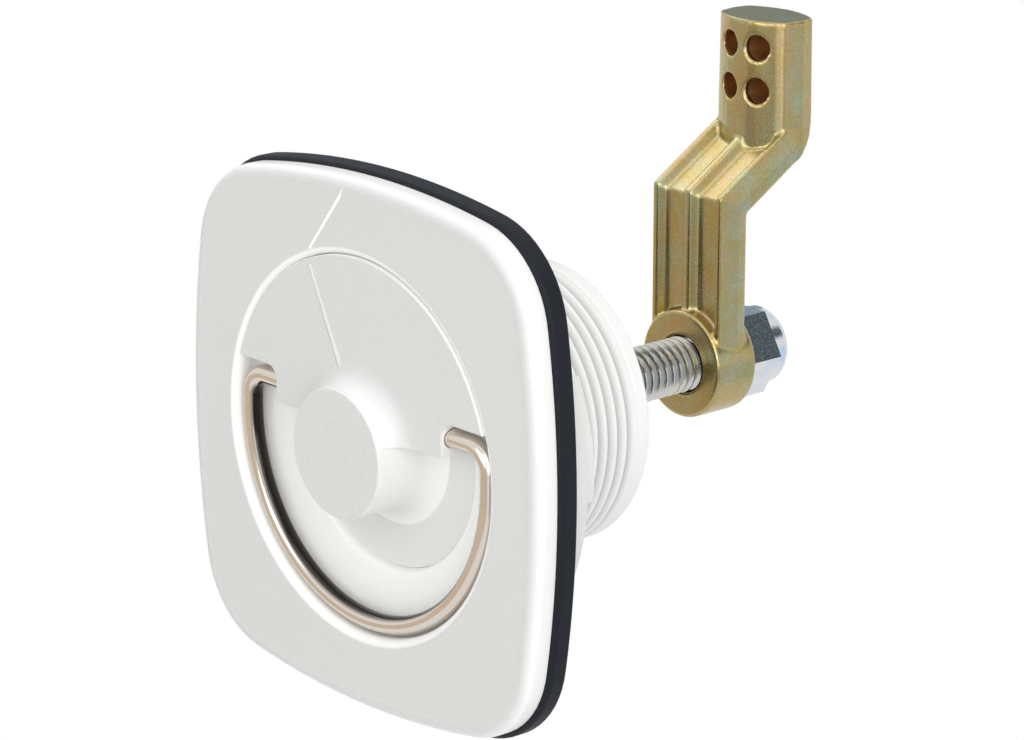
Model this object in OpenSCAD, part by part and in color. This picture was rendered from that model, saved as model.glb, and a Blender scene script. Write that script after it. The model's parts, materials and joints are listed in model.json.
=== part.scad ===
// Flush-mount cam latch for a hatch or locker door, in millimetres.
// The plate faces -Y and the barrel runs along +Y through the panel. +Z is up.
// The origin is on the barrel's axis, in the plane where the gasket meets the panel.

/* [Plate] */
// Width of the plate between the middles of its sides
plate_w = 85.4; // [80:0.2:110]
// Height of the plate between the middles of its top and bottom
plate_h = 87.2; // [80:0.2:110]
// How far each side bows out between its corners
side_bow = 2.2; // [1:0.1:4]
// Radius of the plate's corners
corner_r = 16.5; // [10:0.5:20]
// Thickness of the plate
plate_t = 4; // [3.2:0.1:6]
// Rounding of the plate's front edge
plate_edge_r = 1.9; // [1:0.1:3]

/* [Gasket] */
// Thickness of the rubber gasket
gasket_t = 3.6; // [2.6:0.1:5]
// How far the gasket stands out past the plate's outline
gasket_proud = 0.9; // [0.2:0.1:2]
// Gap between the gasket's opening and the back of the dish
gasket_gap = 0.4; // [0.3:0.1:1]

/* [Recess] */
// Radius of the round recess in the plate
recess_r = 31.4; // [30.5:0.1:34]
// Rounding at the mouth of the recess
mouth_r = 1; // [0.5:0.1:2]
// Depth of the recess's upright side wall, from the plate's face
wall_depth = 4.4; // [4.2:0.1:5]
// Depth at the inner edge of the sloping bowl
bowl_depth = 6; // [5.4:0.1:6.6]
// Wall between the turning floor's pocket and the root of the barrel's thread
floor_wall = 1.7; // [1.2:0.1:2.4]
// Width of the rounded lip around the floor
lip_w = 0.9; // [0.4:0.1:1.4]
// Depth of the floor from the plate's face
floor_depth = 7.6; // [7.2:0.1:9]
// Wall of the dish around the recess
dish_wall = 2.6; // [2:0.1:3]
// How far the dish's back stays short of the panel
dish_gap = 0.2; // [0.1:0.1:0.6]

/* [Barrel] */
// Diameter over the barrel's thread
barrel_d = 47.2; // [46.5:0.1:52]
// Length of the barrel behind the panel's face
barrel_len = 34; // [30:0.5:60]
// Wall between the barrel's bore and the top of its thread
barrel_wall = 3.6; // [3:0.1:4.5]
// Pitch of the barrel's thread
barrel_pitch = 2.1; // [1.8:0.1:3]
// Depth of the barrel's thread
barrel_thread = 0.9; // [0.4:0.1:1.2]
// Plain length at the barrel's rear end
barrel_plain = 1.8; // [1:0.1:4]
// Thickness of the web behind the turning floor
web_t = 3.2; // [2.8:0.1:5]
// Wall of the bearing tube inside the barrel
tube_wall = 3; // [2:0.1:4]
// How far the tube's end sits inside the barrel
tube_setback = 7; // [6:0.5:10]
// Number of ribs between the tube and the barrel
rib_count = 6; // [3:1:8]
// Thickness of each rib
rib_t = 2; // [1.2:0.1:3]

/* [Mounting nut] */
// Diameter of the nut's flange
nut_d = 78.6; // [70:0.2:90]
// Thickness of the nut's flange
nut_t = 6; // [4:0.1:8]
// Gap between the gasket and the nut when it is run up with no panel
nut_gap = 0.3; // [0.1:0.1:2]
// Height of the spanner lugs on the nut's back
lug_h = 3.4; // [2:0.1:6]
// How far the lugs sit in from the flange's edge
lug_inset = 2.4; // [1:0.1:4]
// Radial depth of each lug
lug_depth = 7; // [4:0.5:10]
// Number of lugs
lug_count = 6; // [3:1:8]
// Angle that each lug spans
lug_span = 32; // [20:1:40]
// Angle below level where the first lug ends
lug_drop = 5; // [0:1:15]
// Gap between the nut's bore and the barrel's thread
nut_clear = 0.3; // [0.25:0.05:0.6]

/* [Rotor] */
// Gap between the rotor and the fixed dish
turn_gap = 0.4; // [0.3:0.05:0.6]
// How far the rotor's half-disc stands out of the plate's face
disc_rise = 0.1; // [0:0.1:1.2]
// Rounding of the half-disc's rim
disc_edge_r = 0.5; // [0.2:0.1:0.8]
// Height of the half-disc's lower edge near the post
edge_in_z = 3.1; // [2.8:0.1:4.2]
// Height of the half-disc's lower edge outside the steps
edge_out_z = 9; // [8.8:0.1:10]
// Distance from the axis to each step in the lower edge
step_x = 20.4; // [18:0.1:21]
// Rounding inside each step
step_r = 2.4; // [1:0.1:2.6]
// Radius of the post
post_r = 10.6; // [9.5:0.1:12]
// How far the post stands out of the plate's face
post_rise = 4.3; // [2.5:0.1:6]
// Hollow rounding between the post and the half-disc
post_fillet = 2.6; // [1:0.1:3]
// Hollow rounding between the post and the floor
floor_fillet = 2.4; // [1:0.1:3]
// Thickness of the turning floor
floor_t = 2.4; // [2:0.1:4]
// Radius of the rotor's shaft
shaft_r = 8; // [7.6:0.1:9]
// Running clearance of the shaft in its tube
shaft_clear = 0.08; // [0.03:0.01:0.1]
// Free play of the rotor along the axis
end_play = 0.15; // [0.1:0.05:0.3]
// Angle that the rotor turns between its stops
turn_range = 90; // [60:5:120]
// Angle that the stop lug spans
stop_span = 24; // [16:1:40]
// Spare angle at each end of the stop slot
stop_spare = 1; // [0.5:0.5:3]
// Height of the stop lug behind the floor
stop_h = 1.6; // [1:0.1:2]
// Radial depth of the stop lug
stop_w = 4; // [3:0.1:5]

/* [Shaft seal and clip] */
// Section diameter of the O-ring
oring_d = 1.8; // [1.4:0.1:2.2]
// Squeeze gap left between the O-ring and its bore and groove
oring_gap = 0.03; // [0.02:0.01:0.06]
// Room on each side of the O-ring in its groove
oring_room = 0.2; // [0.1:0.05:0.4]
// Thickness of the flat thrust washer
washer_t = 1.2; // [0.8:0.1:2]
// Height of the conical spring washer
spring_h = 1.6; // [1.3:0.1:2.4]
// Sheet thickness of the conical spring washer
spring_t = 0.8; // [0.5:0.1:1]
// Gap between the washers and the shaft
washer_gap = 0.25; // [0.1:0.05:0.4]
// Thickness of the retaining clip
clip_t = 1.2; // [0.8:0.1:1.6]
// Radial width of the retaining clip
clip_w = 2.8; // [2.2:0.1:4]
// Depth of the clip's groove in the shaft
clip_groove = 0.8; // [0.4:0.1:1]
// Angle of the clip's open side
clip_open = 60; // [40:5:100]
// Length of shaft behind the clip
shaft_tail = 1.6; // [1:0.1:3]

/* [Bail] */
// Diameter of the bail's wire
wire_d = 3.2; // [2.8:0.1:3.4]
// Gap between the folded bail and the recess's side wall
bail_gap = 0.6; // [0.4:0.1:1.2]
// Height of the bail's pivot above the axis
pivot_z = 6.2; // [5.8:0.1:6.6]
// Depth of the bail's pivot behind the plate's face
pivot_depth = 2.4; // [2:0.1:2.6]
// Bend radius between each leg and its pivot end
bail_bend = 4; // [3:0.1:5]
// Length of each pivot end inside the rotor
pivot_grip = 6; // [4:0.5:7.5]
// Running clearance around each pivot end
pivot_clear = 0.1; // [0.05:0.01:0.1]

/* [Stud] */
// Diameter over the stud's thread
stud_d = 9.525; // [8:0.005:10]
// Pitch of the stud's thread
stud_pitch = 1.5875; // [1.25:0.0005:2]
// Depth of the stud's thread
stud_thread = 0.8; // [0.4:0.1:1]
// Length of the stud that shows behind the lock nut
stud_tail = 0.8; // [0:0.1:6]
// Clearance of the nuts, the insert and the cam bar on the stud
stud_clear = 0.05; // [0.02:0.01:0.1]
// Outer diameter of the brass insert in the shaft
insert_d = 12.2; // [11.6:0.1:12.8]
// Length of the brass insert
insert_len = 16; // [12:0.5:18]
// Distance of the stud's front end behind the insert's
stud_setback = 1; // [0.5:0.1:2]
// Clearance of the pieces pressed into the shaft
press_clear = 0.03; // [0.01:0.01:0.05]
// Diameter of the cross pin that locks the stud in the shaft
cross_pin_d = 3; // [2:0.1:3.5]
// Distance of the cross pin from the shaft's end
cross_pin_back = 9; // [8:0.5:10]
// How far each end of the cross pin stays below the shaft's surface
cross_pin_sunk = 1; // [0.5:0.1:2]
// Distance across the flats of the jam nut and of the lock nut
nut_flats = 14.3; // [13:0.1:16]
// Thickness of the jam nut
jam_t = 5.5; // [3:0.1:7]

/* [Cam bar] */
// Distance from the panel's face to the front of the cam bar's boss
cam_reach = 63.4; // [56:0.2:100]
// Radius of the boss
boss_r = 9.3; // [8.6:0.1:11]
// Length of the boss
boss_len = 9; // [8.4:0.1:12]
// Width of the arm
arm_w = 17.2; // [15:0.1:18.4]
// Depth of the arm from its front to its back
arm_t = 6.2; // [5:0.1:7]
// How far the boss stands out in front of the arm
boss_rise = 1; // [0.5:0.1:2]
// Height of the bend where the arm turns back
bend_z = 30; // [26:0.5:40]
// How far the bar steps back between its two bends
jog_back = 14.9; // [8:0.1:20]
// How far the bar rises between its two bends
jog_rise = 9; // [6:0.1:14]
// Height of the bar's top above the axis
cam_top = 57.5; // [54:0.5:80]
// Depth of the two flutes in the arm's front
flute_depth = 1.4; // [0.6:0.1:2]
// Width of the rib between the flutes
rib_w = 2.2; // [1.4:0.1:4]
// Width of the rib at each edge of the arm
edge_rib_w = 1.7; // [1:0.1:3]
// Width of the pad at the bar's top
pad_w = 16.8; // [15:0.1:18]
// Depth of the pad at its middle
pad_t = 12; // [10:0.1:13]
// Radius of the pad's rounded front and back
pad_round = 11.5; // [11:0.5:30]
// Rounding where the jog's back runs into the pad's back
pad_heel_r = 6; // [3:0.5:8]
// Diameter of the holes in the pad
pad_hole_d = 4.4; // [3:0.1:4.6]
// Depth of the holes in the pad
pad_hole_depth = 8; // [5:0.1:9]
// Spacing of the holes across the pad
pad_hole_x = 6.3; // [5.4:0.1:7.4]
// Spacing of the holes up the pad
pad_hole_z = 7.3; // [6:0.1:9]
// Distance from the bar's top to the middle of the upper holes
pad_hole_drop = 4.6; // [4:0.1:6]

/* [Lock nut] */
// Height of the lock nut's hexagon
lock_hex_h = 7; // [5:0.1:9]
// Height of the round collar behind the hexagon
lock_collar_h = 3.6; // [3:0.1:5]
// Radius of the collar
lock_collar_r = 6.8; // [6.4:0.05:7]
// Rounding of the collar's rear edge
lock_round = 1; // [0.4:0.1:1.2]
// Thickness of the nylon ring in the collar
nylon_t = 2.4; // [1.6:0.1:2.6]
// Radial width of the nylon ring
nylon_w = 1.1; // [0.8:0.1:1.3]

/* [Hidden] */

$fn = 96;
over = 1;                                   // how far a cut passes a face and joined shapes overlap
crest_share = 0.1;                          // share of a thread's pitch that is flat at its crest
root_share = 0.2;                           // share of a thread's pitch that is flat at its root
arc_steps = 8;                              // straight pieces in each arc of the plate's outline
round_steps = 4;                            // straight pieces in each rounded edge

face_y = -(plate_t + gasket_t);             // the plate's front face
plate_back_y = -gasket_t;
dish_back_y = -dish_gap;
dish_r = recess_r + dish_wall;
barrel_r = barrel_d / 2;
floor_r = barrel_r - barrel_thread - floor_wall;  // pocket of the turning floor
disc_r = recess_r - turn_gap;               // rim of the rotor's half-disc
turn_floor_r = floor_r - turn_gap;          // rim of the rotor's floor
floor_y = face_y + floor_depth;
floor_back_y = floor_y + floor_t;
seat_y = floor_back_y + end_play;           // front of the web
bore_r = shaft_r + shaft_clear;
tube_r = bore_r + tube_wall;
web_back_y = seat_y + web_t;
tube_end_y = barrel_len - tube_setback;
stop_in_r = shaft_r + tube_wall;
stop_out_r = stop_in_r + stop_w;

washer_y = tube_end_y + end_play;
spring_y = washer_y + washer_t;
clip_y = spring_y + spring_h;
shaft_end_y = clip_y + clip_t + shaft_tail;
oring_y = web_back_y + oring_d;
oring_mid_r = bore_r - oring_gap - oring_d / 2;
oring_root_r = oring_mid_r - oring_d / 2 - oring_gap;

stud_r = stud_d / 2;
stud_bore_r = stud_r + stud_clear;
insert_y = shaft_end_y - insert_len;
stud_y = insert_y + stud_setback;
cross_pin_y = shaft_end_y - cross_pin_back;
cross_pin_len = 2 * (shaft_r - cross_pin_sunk);

pivot_y = face_y + pivot_depth;
wire_r = wire_d / 2;
bail_r = recess_r - bail_gap - wire_r;      // to the middle of the wire
pivot_end_x = step_x - pivot_grip;

nut_y = nut_gap;
nut_bore_r = barrel_r + nut_clear;

boss_back_y = cam_reach + boss_len;
stud_end_y = boss_back_y + lock_hex_h + lock_collar_h + stud_tail;
arm_y = cam_reach + boss_rise;              // front of the arm
jog_lean = atan2(jog_back, jog_rise);       // the jog's angle from upright
half_lean = tan(jog_lean / 2);
jog_top_z = bend_z + jog_rise;
pad_mid_y = arm_y + jog_back + arm_t / 2;
pad_front_y = pad_mid_y - pad_t / 2;
pad_rear_y = pad_front_y + pad_t;
flute_w = (arm_w - rib_w - 2 * edge_rib_w) / 2;
flute_x = (rib_w + flute_w) / 2;
nylon_r = stud_bore_r + nylon_w;

// Centre of a corner circle that touches a side's arc and the top's arc
side_r = bow_radius(plate_h / 2 - corner_r);
top_r = bow_radius(plate_w / 2 - corner_r);
side_c = [plate_w / 2 - side_r, 0];
top_c = [0, plate_h / 2 - top_r];
corner_c = circles_meet(side_c, side_r - corner_r, top_c, top_r - corner_r);
side_a = atan2(corner_c[1] - side_c[1], corner_c[0] - side_c[0]);
top_a = atan2(corner_c[1] - top_c[1], corner_c[0] - top_c[0]);

function bow_radius(half) = (half * half + side_bow * side_bow) / (2 * side_bow);

// Where two circles cross, on the side away from the plate's middle
function circles_meet(a, ra, b, rb) =
    let (d = norm(b - a), u = (b - a) / d, along = (ra * ra - rb * rb + d * d) / (2 * d),
        up = sqrt(ra * ra - along * along), p = a + along * u, n = [-u[1], u[0]],
        q = p + up * n)
    q[0] > 0 && q[1] > 0 ? q : p - up * n;

// Points of an arc about c, from angle a0 to a1
function arc(c, r, a0, a1, steps) =
    [for (i = [0:steps]) c + r * [cos(a0 + (a1 - a0) * i / steps), sin(a0 + (a1 - a0) * i / steps)]];

// One quarter of the plate's outline, moved in by d, from the right side's middle to the top's
function quarter(d) = concat(
    arc(side_c, side_r - d, 0, side_a, arc_steps),
    arc(corner_c, corner_r - d, side_a, top_a, arc_steps),
    arc(top_c, top_r - d, top_a, 90, arc_steps));
function flip(points, sx, sz) = [for (p = points) [p[0] * sx, p[1] * sz]];
function turn_back(points) = [for (i = [len(points) - 1:-1:0]) points[i]];
function plate_outline(d) = concat(quarter(d), turn_back(flip(quarter(d), -1, 1)),
    flip(quarter(d), -1, -1), turn_back(flip(quarter(d), 1, -1)));

// Crest and root points of a row of annular thread grooves between y0 and y1
function thread_points(r, depth, pitch, y0, y1) =
    let (turns = floor((y1 - y0) / pitch), root_in = (1 + crest_share - root_share) / 2,
        groove = [[crest_share, 0], [root_in, -depth], [root_in + root_share, -depth], [1, 0]])
    [for (i = [0:turns - 1], p = groove) [r + p[1], y0 + (i + p[0]) * pitch]];

// Turns a profile of [radius, y] about the Y axis
module turned(angle = 360) rotate([-90, 0, 0]) rotate_extrude(angle = angle) children();

// Raises an outline of [x, z] between two planes
module slab(y0, y1) translate([0, y1, 0]) rotate([90, 0, 0]) linear_extrude(y1 - y0) children();

// A cylinder along Y
module rod(r, y0, y1) translate([0, y0, 0]) rotate([-90, 0, 0]) cylinder(r = r, h = y1 - y0);

// A hexagonal bar along Y, with two corners level with the axis
module hex(flats, y0, y1) translate([0, y0, 0]) rotate([-90, 0, 0])
    cylinder(d = flats / cos(30), h = y1 - y0, $fn = 6);

// A flat ring
module ring(r_in, r_out, y0, y1) difference() {
    rod(r_out, y0, y1);
    rod(r_in, y0 - over, y1 + over);
}

// Everything in front of the dish, moved in by gap all round, down to y_end
module dish_space(gap, y_front, edge_r, y_end) turned() polygon(concat(
    [[0, y_front]],
    edge_r > 0
        ? arc([recess_r - gap - edge_r, y_front + edge_r], edge_r, -90, 0, round_steps)
        : [[recess_r, y_front]],
    [[recess_r - gap, face_y + wall_depth - gap],
     [floor_r + lip_w - gap, face_y + bowl_depth - gap],
     [floor_r - gap, face_y + bowl_depth + lip_w - gap],
     [floor_r - gap, y_end], [0, y_end]]));

module plate_body() hull() {
    for (i = [0:round_steps]) {
        a = 90 * i / round_steps;
        slab_y = face_y + plate_edge_r * (1 - sin(a));
        slab(slab_y, plate_back_y) polygon(plate_outline(plate_edge_r * (1 - cos(a))));
    }
}

module barrel_solid() turned() polygon(concat(
    [[0, dish_back_y - over]], [[barrel_r, dish_back_y - over]],
    thread_points(barrel_r, barrel_thread, barrel_pitch, dish_back_y, barrel_len - barrel_plain),
    [[barrel_r, barrel_len], [0, barrel_len]]));

// Arc of the stop slot or of the stop lug, over the given angles
module stop_arc(a0, span, grow, y0, y1) rotate([0, a0, 0]) turned(span)
    translate([stop_in_r - grow, y0]) square([stop_out_r - stop_in_r + 2 * grow, y1 - y0]);

module housing() color("whitesmoke") {
    difference() {
        union() {
            plate_body();
            rod(dish_r, plate_back_y - over, dish_back_y);
            difference() {
                barrel_solid();
                ring(tube_r, barrel_r - barrel_wall, web_back_y, barrel_len + over);
                rod(tube_r + over, tube_end_y, barrel_len + over);
            }
            for (i = [0:rib_count - 1]) rotate([0, 360 * (i + 0.5) / rib_count, 0])
                translate([tube_r - over, web_back_y - over, -rib_t / 2])
                    cube([barrel_r - barrel_wall - tube_r + 2 * over,
                        tube_end_y - web_back_y, rib_t]);
        }
        dish_space(0, face_y - over, 0, seat_y);
        turned() polygon(concat([[0, face_y - over], [recess_r + mouth_r, face_y - over]],
            arc([recess_r + mouth_r, face_y + mouth_r], mouth_r, 270, 180, round_steps),
            [[0, face_y + mouth_r]]));
        rod(bore_r, seat_y - over, barrel_len + over);
        stop_arc(-stop_spare, turn_range + stop_span + 2 * stop_spare, turn_gap,
            seat_y - over, seat_y + stop_h + turn_gap);
    }
}

module panel_gasket() color("#26292e") difference() {
    slab(plate_back_y, 0) polygon(plate_outline(-gasket_proud));
    rod(dish_r + gasket_gap, plate_back_y - over, over);
}

module mounting_nut() color("white") {
    back_y = nut_y + nut_t;
    out_r = nut_d / 2 - lug_inset;
    difference() {
        union() {
            rod(nut_d / 2, nut_y, back_y);
            for (i = [0:lug_count - 1]) rotate([0, 360 * i / lug_count - lug_span + lug_drop, 0])
                turned(lug_span) translate([out_r - lug_depth, back_y - over])
                    square([lug_depth, lug_h + over]);
        }
        rod(nut_bore_r, nut_y - over, back_y + lug_h + over);
    }
}

// The half-disc's outline, with a stepped lower edge
module disc_outline() difference() {
    union() {
        translate([-disc_r, edge_out_z]) square([2 * disc_r, disc_r]);
        translate([-step_x, edge_in_z]) square([2 * step_x, disc_r]);
        for (s = [-1, 1]) translate([s * (step_x + step_r / 2), edge_out_z]) square(step_r, center = true);
    }
    for (s = [-1, 1]) translate([s * (step_x + step_r), edge_out_z - step_r]) circle(step_r);
}

module shaft_body() {
    clip_root_r = shaft_r - clip_groove;
    oring_half = oring_d / 2 + oring_room;
    difference() {
        rod(shaft_r, floor_back_y - over, shaft_end_y);
        ring(oring_root_r, shaft_r + over, oring_y - oring_half, oring_y + oring_half);
        ring(clip_root_r, shaft_r + over, clip_y, clip_y + clip_t + press_clear);
        rod(insert_d / 2 + press_clear, insert_y, shaft_end_y + over);
        translate([0, cross_pin_y, 0])
            cylinder(d = cross_pin_d + 2 * press_clear, h = 2 * (shaft_r + over), center = true);
    }
}

module post_body() turned() polygon(concat(
    [[0, face_y - post_rise], [post_r, face_y - post_rise]],
    arc([post_r + floor_fillet, floor_y - floor_fillet], floor_fillet, 180, 90, round_steps),
    [[0, floor_y]]));

// Hollow rounding where the half-disc's face meets the post
module post_collar() turned() polygon(concat([[0, face_y - disc_rise]],
    [[0, face_y - disc_rise - post_fillet]],
    arc([post_r + post_fillet, face_y - disc_rise - post_fillet], post_fillet, 180, 90, round_steps)));

module rotor() color("whitesmoke") {
    difference() {
        union() {
            intersection() {
                dish_space(turn_gap, face_y - disc_rise, disc_edge_r, floor_y + over);
                slab(face_y - disc_rise - over, floor_y + over) disc_outline();
            }
            intersection() {
                post_collar();
                slab(face_y - post_rise, floor_y) disc_outline();
            }
            post_body();
            rod(turn_floor_r, floor_y, floor_back_y);
            stop_arc(0, stop_span, 0, floor_back_y - over, floor_back_y + stop_h);
            shaft_body();
        }
        for (s = [-1, 1]) translate([s * (pivot_end_x - pivot_clear), pivot_y, pivot_z])
            rotate([0, s * 90, 0]) cylinder(r = wire_r + pivot_clear, h = pivot_grip + step_r + over);
    }
}

module rotor_o_ring() color("#1c1c1e") turned() translate([oring_mid_r, oring_y]) circle(oring_d / 2);

module bail() color("silver") translate([0, pivot_y, 0]) {
    bend_c = [bail_r - bail_bend, pivot_z - bail_bend];
    rotate([-90, 0, 0]) rotate_extrude(angle = 180) translate([bail_r, 0]) circle(wire_r);
    for (s = [0, 1]) mirror([s, 0, 0]) {
        translate([bail_r, 0, 0]) cylinder(r = wire_r, h = bend_c[1]);
        translate([bend_c[0], 0, bend_c[1]]) rotate([90, 0, 0])
            rotate_extrude(angle = 90) translate([bail_bend, 0]) circle(wire_r);
        translate([pivot_end_x, 0, pivot_z]) rotate([0, 90, 0])
            cylinder(r = wire_r, h = bend_c[0] - pivot_end_x);
    }
}

module stud() color("lightgray") difference() {
    turned() polygon(concat([[0, stud_y], [stud_r, stud_y]],
        thread_points(stud_r, stud_thread, stud_pitch, stud_y, stud_end_y),
        [[stud_r, stud_end_y], [0, stud_end_y]]));
    translate([0, cross_pin_y, 0])
        cylinder(d = cross_pin_d + 2 * press_clear, h = 2 * (stud_r + over), center = true);
}

module stud_insert() color("goldenrod") difference() {
    ring(stud_bore_r, insert_d / 2, insert_y, shaft_end_y);
    translate([0, cross_pin_y, 0])
        cylinder(d = cross_pin_d + 2 * press_clear, h = insert_d + 2 * over, center = true);
}

module cross_pin() color("gray") translate([0, cross_pin_y, 0])
    cylinder(d = cross_pin_d, h = cross_pin_len, center = true);

module thrust_washer() color("silver")
    ring(shaft_r + washer_gap, tube_r, washer_y, washer_y + washer_t);

module spring_washer() color("dimgray") turned() polygon([
    [shaft_r + washer_gap, spring_y + spring_h - spring_t], [tube_r, spring_y],
    [tube_r, spring_y + spring_t], [shaft_r + washer_gap, spring_y + spring_h]]);

module retaining_clip() color("dimgray") rotate([0, -90 + clip_open / 2, 0]) turned(360 - clip_open)
    translate([shaft_r - clip_groove + press_clear, clip_y]) square([clip_w, clip_t]);

module jam_nut() color("silver") difference() {
    hex(nut_flats, shaft_end_y, shaft_end_y + jam_t);
    rod(stud_bore_r, shaft_end_y - over, shaft_end_y + jam_t + over);
}

// The bar's front line, moved back by d square to itself, from z0 up to z1
function bar_front(d, z0, z1) = [[arm_y + d, z0], [arm_y + d, bend_z - d * half_lean],
    [arm_y + jog_back + d, jog_top_z - d * half_lean], [arm_y + jog_back + d, z1]];

// A flat shape in [y, z], made w wide about the middle plane
module wide(w) rotate([90, 0, 90]) translate([0, 0, -w / 2]) linear_extrude(w) children();

module flute_cut() wide(flute_w) polygon(concat(
    bar_front(flute_depth, boss_r, jog_top_z), turn_back(bar_front(-over, boss_r, jog_top_z))));

module pad_body() intersection() {
    z0 = jog_top_z - arm_t * half_lean;
    wide(pad_w) polygon(concat([[pad_front_y, z0]],
        arc([pad_rear_y - pad_heel_r, z0 + pad_heel_r * sin(jog_lean)], pad_heel_r, -jog_lean, 0, round_steps),
        [[pad_rear_y, cam_top], [pad_front_y, cam_top]]));
    translate([0, pad_front_y + pad_round, z0]) cylinder(r = pad_round, h = cam_top - z0);
    translate([0, pad_rear_y - pad_round, z0]) cylinder(r = pad_round, h = cam_top - z0);
}

module cam_bar() color("#b39b55") difference() {
    union() {
        difference() {
            wide(arm_w) polygon(concat(bar_front(0, 0, jog_top_z),
                turn_back(bar_front(arm_t, 0, jog_top_z))));
            for (s = [-1, 1]) translate([s * flute_x, 0, 0]) flute_cut();
        }
        rod(boss_r, cam_reach, boss_back_y);
        pad_body();
    }
    rod(stud_bore_r, cam_reach - over, boss_back_y + over);
    for (sx = [-1, 1], row = [0, 1])
        translate([sx * pad_hole_x / 2, 0, cam_top - pad_hole_drop - row * pad_hole_z])
            rod(pad_hole_d / 2, pad_front_y - over, pad_front_y + pad_hole_depth);
}

module lock_nut() color("silver") difference() {
    collar_y = boss_back_y + lock_hex_h;
    end_y = collar_y + lock_collar_h;
    union() {
        hex(nut_flats, boss_back_y, collar_y);
        turned() polygon(concat([[0, collar_y - over], [lock_collar_r, collar_y - over]],
            arc([lock_collar_r - lock_round, end_y - lock_round], lock_round, 0, 90, round_steps),
            [[0, end_y]]));
    }
    rod(stud_bore_r, boss_back_y - over, end_y + over);
    rod(nylon_r + press_clear, end_y - nylon_t - press_clear, end_y + over);
}

module lock_nut_ring() color("#2b3f8c") {
    end_y = boss_back_y + lock_hex_h + lock_collar_h;
    ring(stud_bore_r, nylon_r, end_y - nylon_t, end_y);
}

housing();
panel_gasket();
mounting_nut();
rotor();
rotor_o_ring();
bail();
stud();
stud_insert();
cross_pin();
thrust_washer();
spring_washer();
retaining_clip();
jam_nut();
cam_bar();
lock_nut();
lock_nut_ring();
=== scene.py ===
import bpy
import json
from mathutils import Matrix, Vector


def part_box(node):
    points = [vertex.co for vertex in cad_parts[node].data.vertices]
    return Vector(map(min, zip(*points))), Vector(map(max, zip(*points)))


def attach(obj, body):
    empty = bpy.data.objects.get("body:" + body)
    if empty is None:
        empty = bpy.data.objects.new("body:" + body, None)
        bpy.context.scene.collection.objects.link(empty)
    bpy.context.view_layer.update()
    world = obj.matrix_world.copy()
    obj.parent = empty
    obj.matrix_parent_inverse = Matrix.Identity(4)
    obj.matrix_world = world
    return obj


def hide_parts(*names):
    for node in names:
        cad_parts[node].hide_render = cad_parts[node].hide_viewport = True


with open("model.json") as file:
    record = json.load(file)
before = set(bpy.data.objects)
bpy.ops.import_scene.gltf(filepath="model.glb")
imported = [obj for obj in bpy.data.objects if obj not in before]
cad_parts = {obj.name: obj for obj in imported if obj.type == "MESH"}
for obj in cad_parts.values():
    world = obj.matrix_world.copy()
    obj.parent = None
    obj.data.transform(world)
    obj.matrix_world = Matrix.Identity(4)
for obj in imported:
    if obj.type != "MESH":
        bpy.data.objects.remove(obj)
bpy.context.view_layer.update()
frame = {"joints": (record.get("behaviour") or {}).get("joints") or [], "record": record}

import json
import math

import bmesh
import bpy
from mathutils import Matrix, Vector

scene = bpy.context.scene
scene.view_settings.view_transform = "Standard"
mm = 0.001              # meshes are modelled in millimetres and scaled down when they are finished
ringSteps = 192         # sides of the large shapes that are turned about the barrel's axis
smallSteps = 96         # and of the small ones
weldGap = 0.0005        # corners closer than this are merged
nearEnough = 0.01       # how close a corner lies to the plane or radius that is looked for
margin = 1              # how far shapes reach past or into the ones that they cut or join
alongX = Matrix.Rotation(math.radians(90), 4, "Y")      # lays a rod or a ring across the plate
alongY = Matrix.Rotation(math.radians(90), 4, "X")      # and along the barrel

record = frame["record"]
joints = {joint["name"]: joint for joint in frame["joints"]}
mounts = {mount["name"]: mount for mount in record["mounts"]}
bodyOf = {node: body for body, nodes in record["behaviour"]["bodies"].items() for node in nodes}


def boxOf(node):
    low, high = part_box(node)
    return low / mm, high / mm


# Camera, at the angle that the plate is seen from
cameraView = {
    "azimuth": 48.383,          # degrees to the right of the plate's face
    "elevation": 17.162, "distance": 655.83,
    "aim": (0, 23.3, 0),        # a point on the barrel's axis
    "lens": 141.67, "sensor": 36, "shift": (0.00915, 0.03956),
    "clip": (0.01, 50),         # in metres
}


def addCamera(view):
    data = bpy.data.cameras.new("camera")
    data.lens = view["lens"]
    data.sensor_width = view["sensor"]
    data.shift_x, data.shift_y = view["shift"]
    data.clip_start, data.clip_end = view["clip"]
    turn = math.radians(view["azimuth"])
    rise = math.radians(view["elevation"])
    away = Vector((math.cos(rise) * math.sin(turn), -math.cos(rise) * math.cos(turn), math.sin(rise)))
    camera = bpy.data.objects.new("camera", data)
    camera.location = (Vector(view["aim"]) + away * view["distance"]) * mm
    camera.rotation_euler = away.to_track_quat("Z", "Y").to_euler()
    scene.collection.objects.link(camera)
    scene.camera = camera


addCamera(cameraView)
print("camera placed")


# Outlines and edges
def arc(centre, radius, first, last, steps):
    # points on a circle between two angles in radians
    angles = [first + (last - first) * i / steps for i in range(steps + 1)]
    return [(centre[0] + radius * math.cos(a), centre[1] + radius * math.sin(a)) for a in angles]


def rounded(corners, closed=False, steps=5):
    # corners are (a, b, rounding), and each rounded one becomes an arc
    points = []
    last = len(corners) - 1
    for i, (a, b, radius) in enumerate(corners):
        here = Vector((a, b))
        if radius == 0 or (not closed and i in (0, last)):
            points.append(here)
            continue
        toward = (Vector(corners[i - 1][:2]) - here).normalized()
        onward = (Vector(corners[(i + 1) % len(corners)][:2]) - here).normalized()
        half = toward.angle(onward) / 2
        centre = here + (toward + onward).normalized() * radius / math.sin(half)
        first = here + toward * radius / math.tan(half) - centre
        sweep = first.angle_signed(here + onward * radius / math.tan(half) - centre)
        for k in range(steps + 1):
            points.append(centre + Matrix.Rotation(-sweep * k / steps, 2) @ first)
    return [tuple(point) for point in points]


def vertsOf(parts):
    return [part for part in parts if isinstance(part, bmesh.types.BMVert)]


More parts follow.
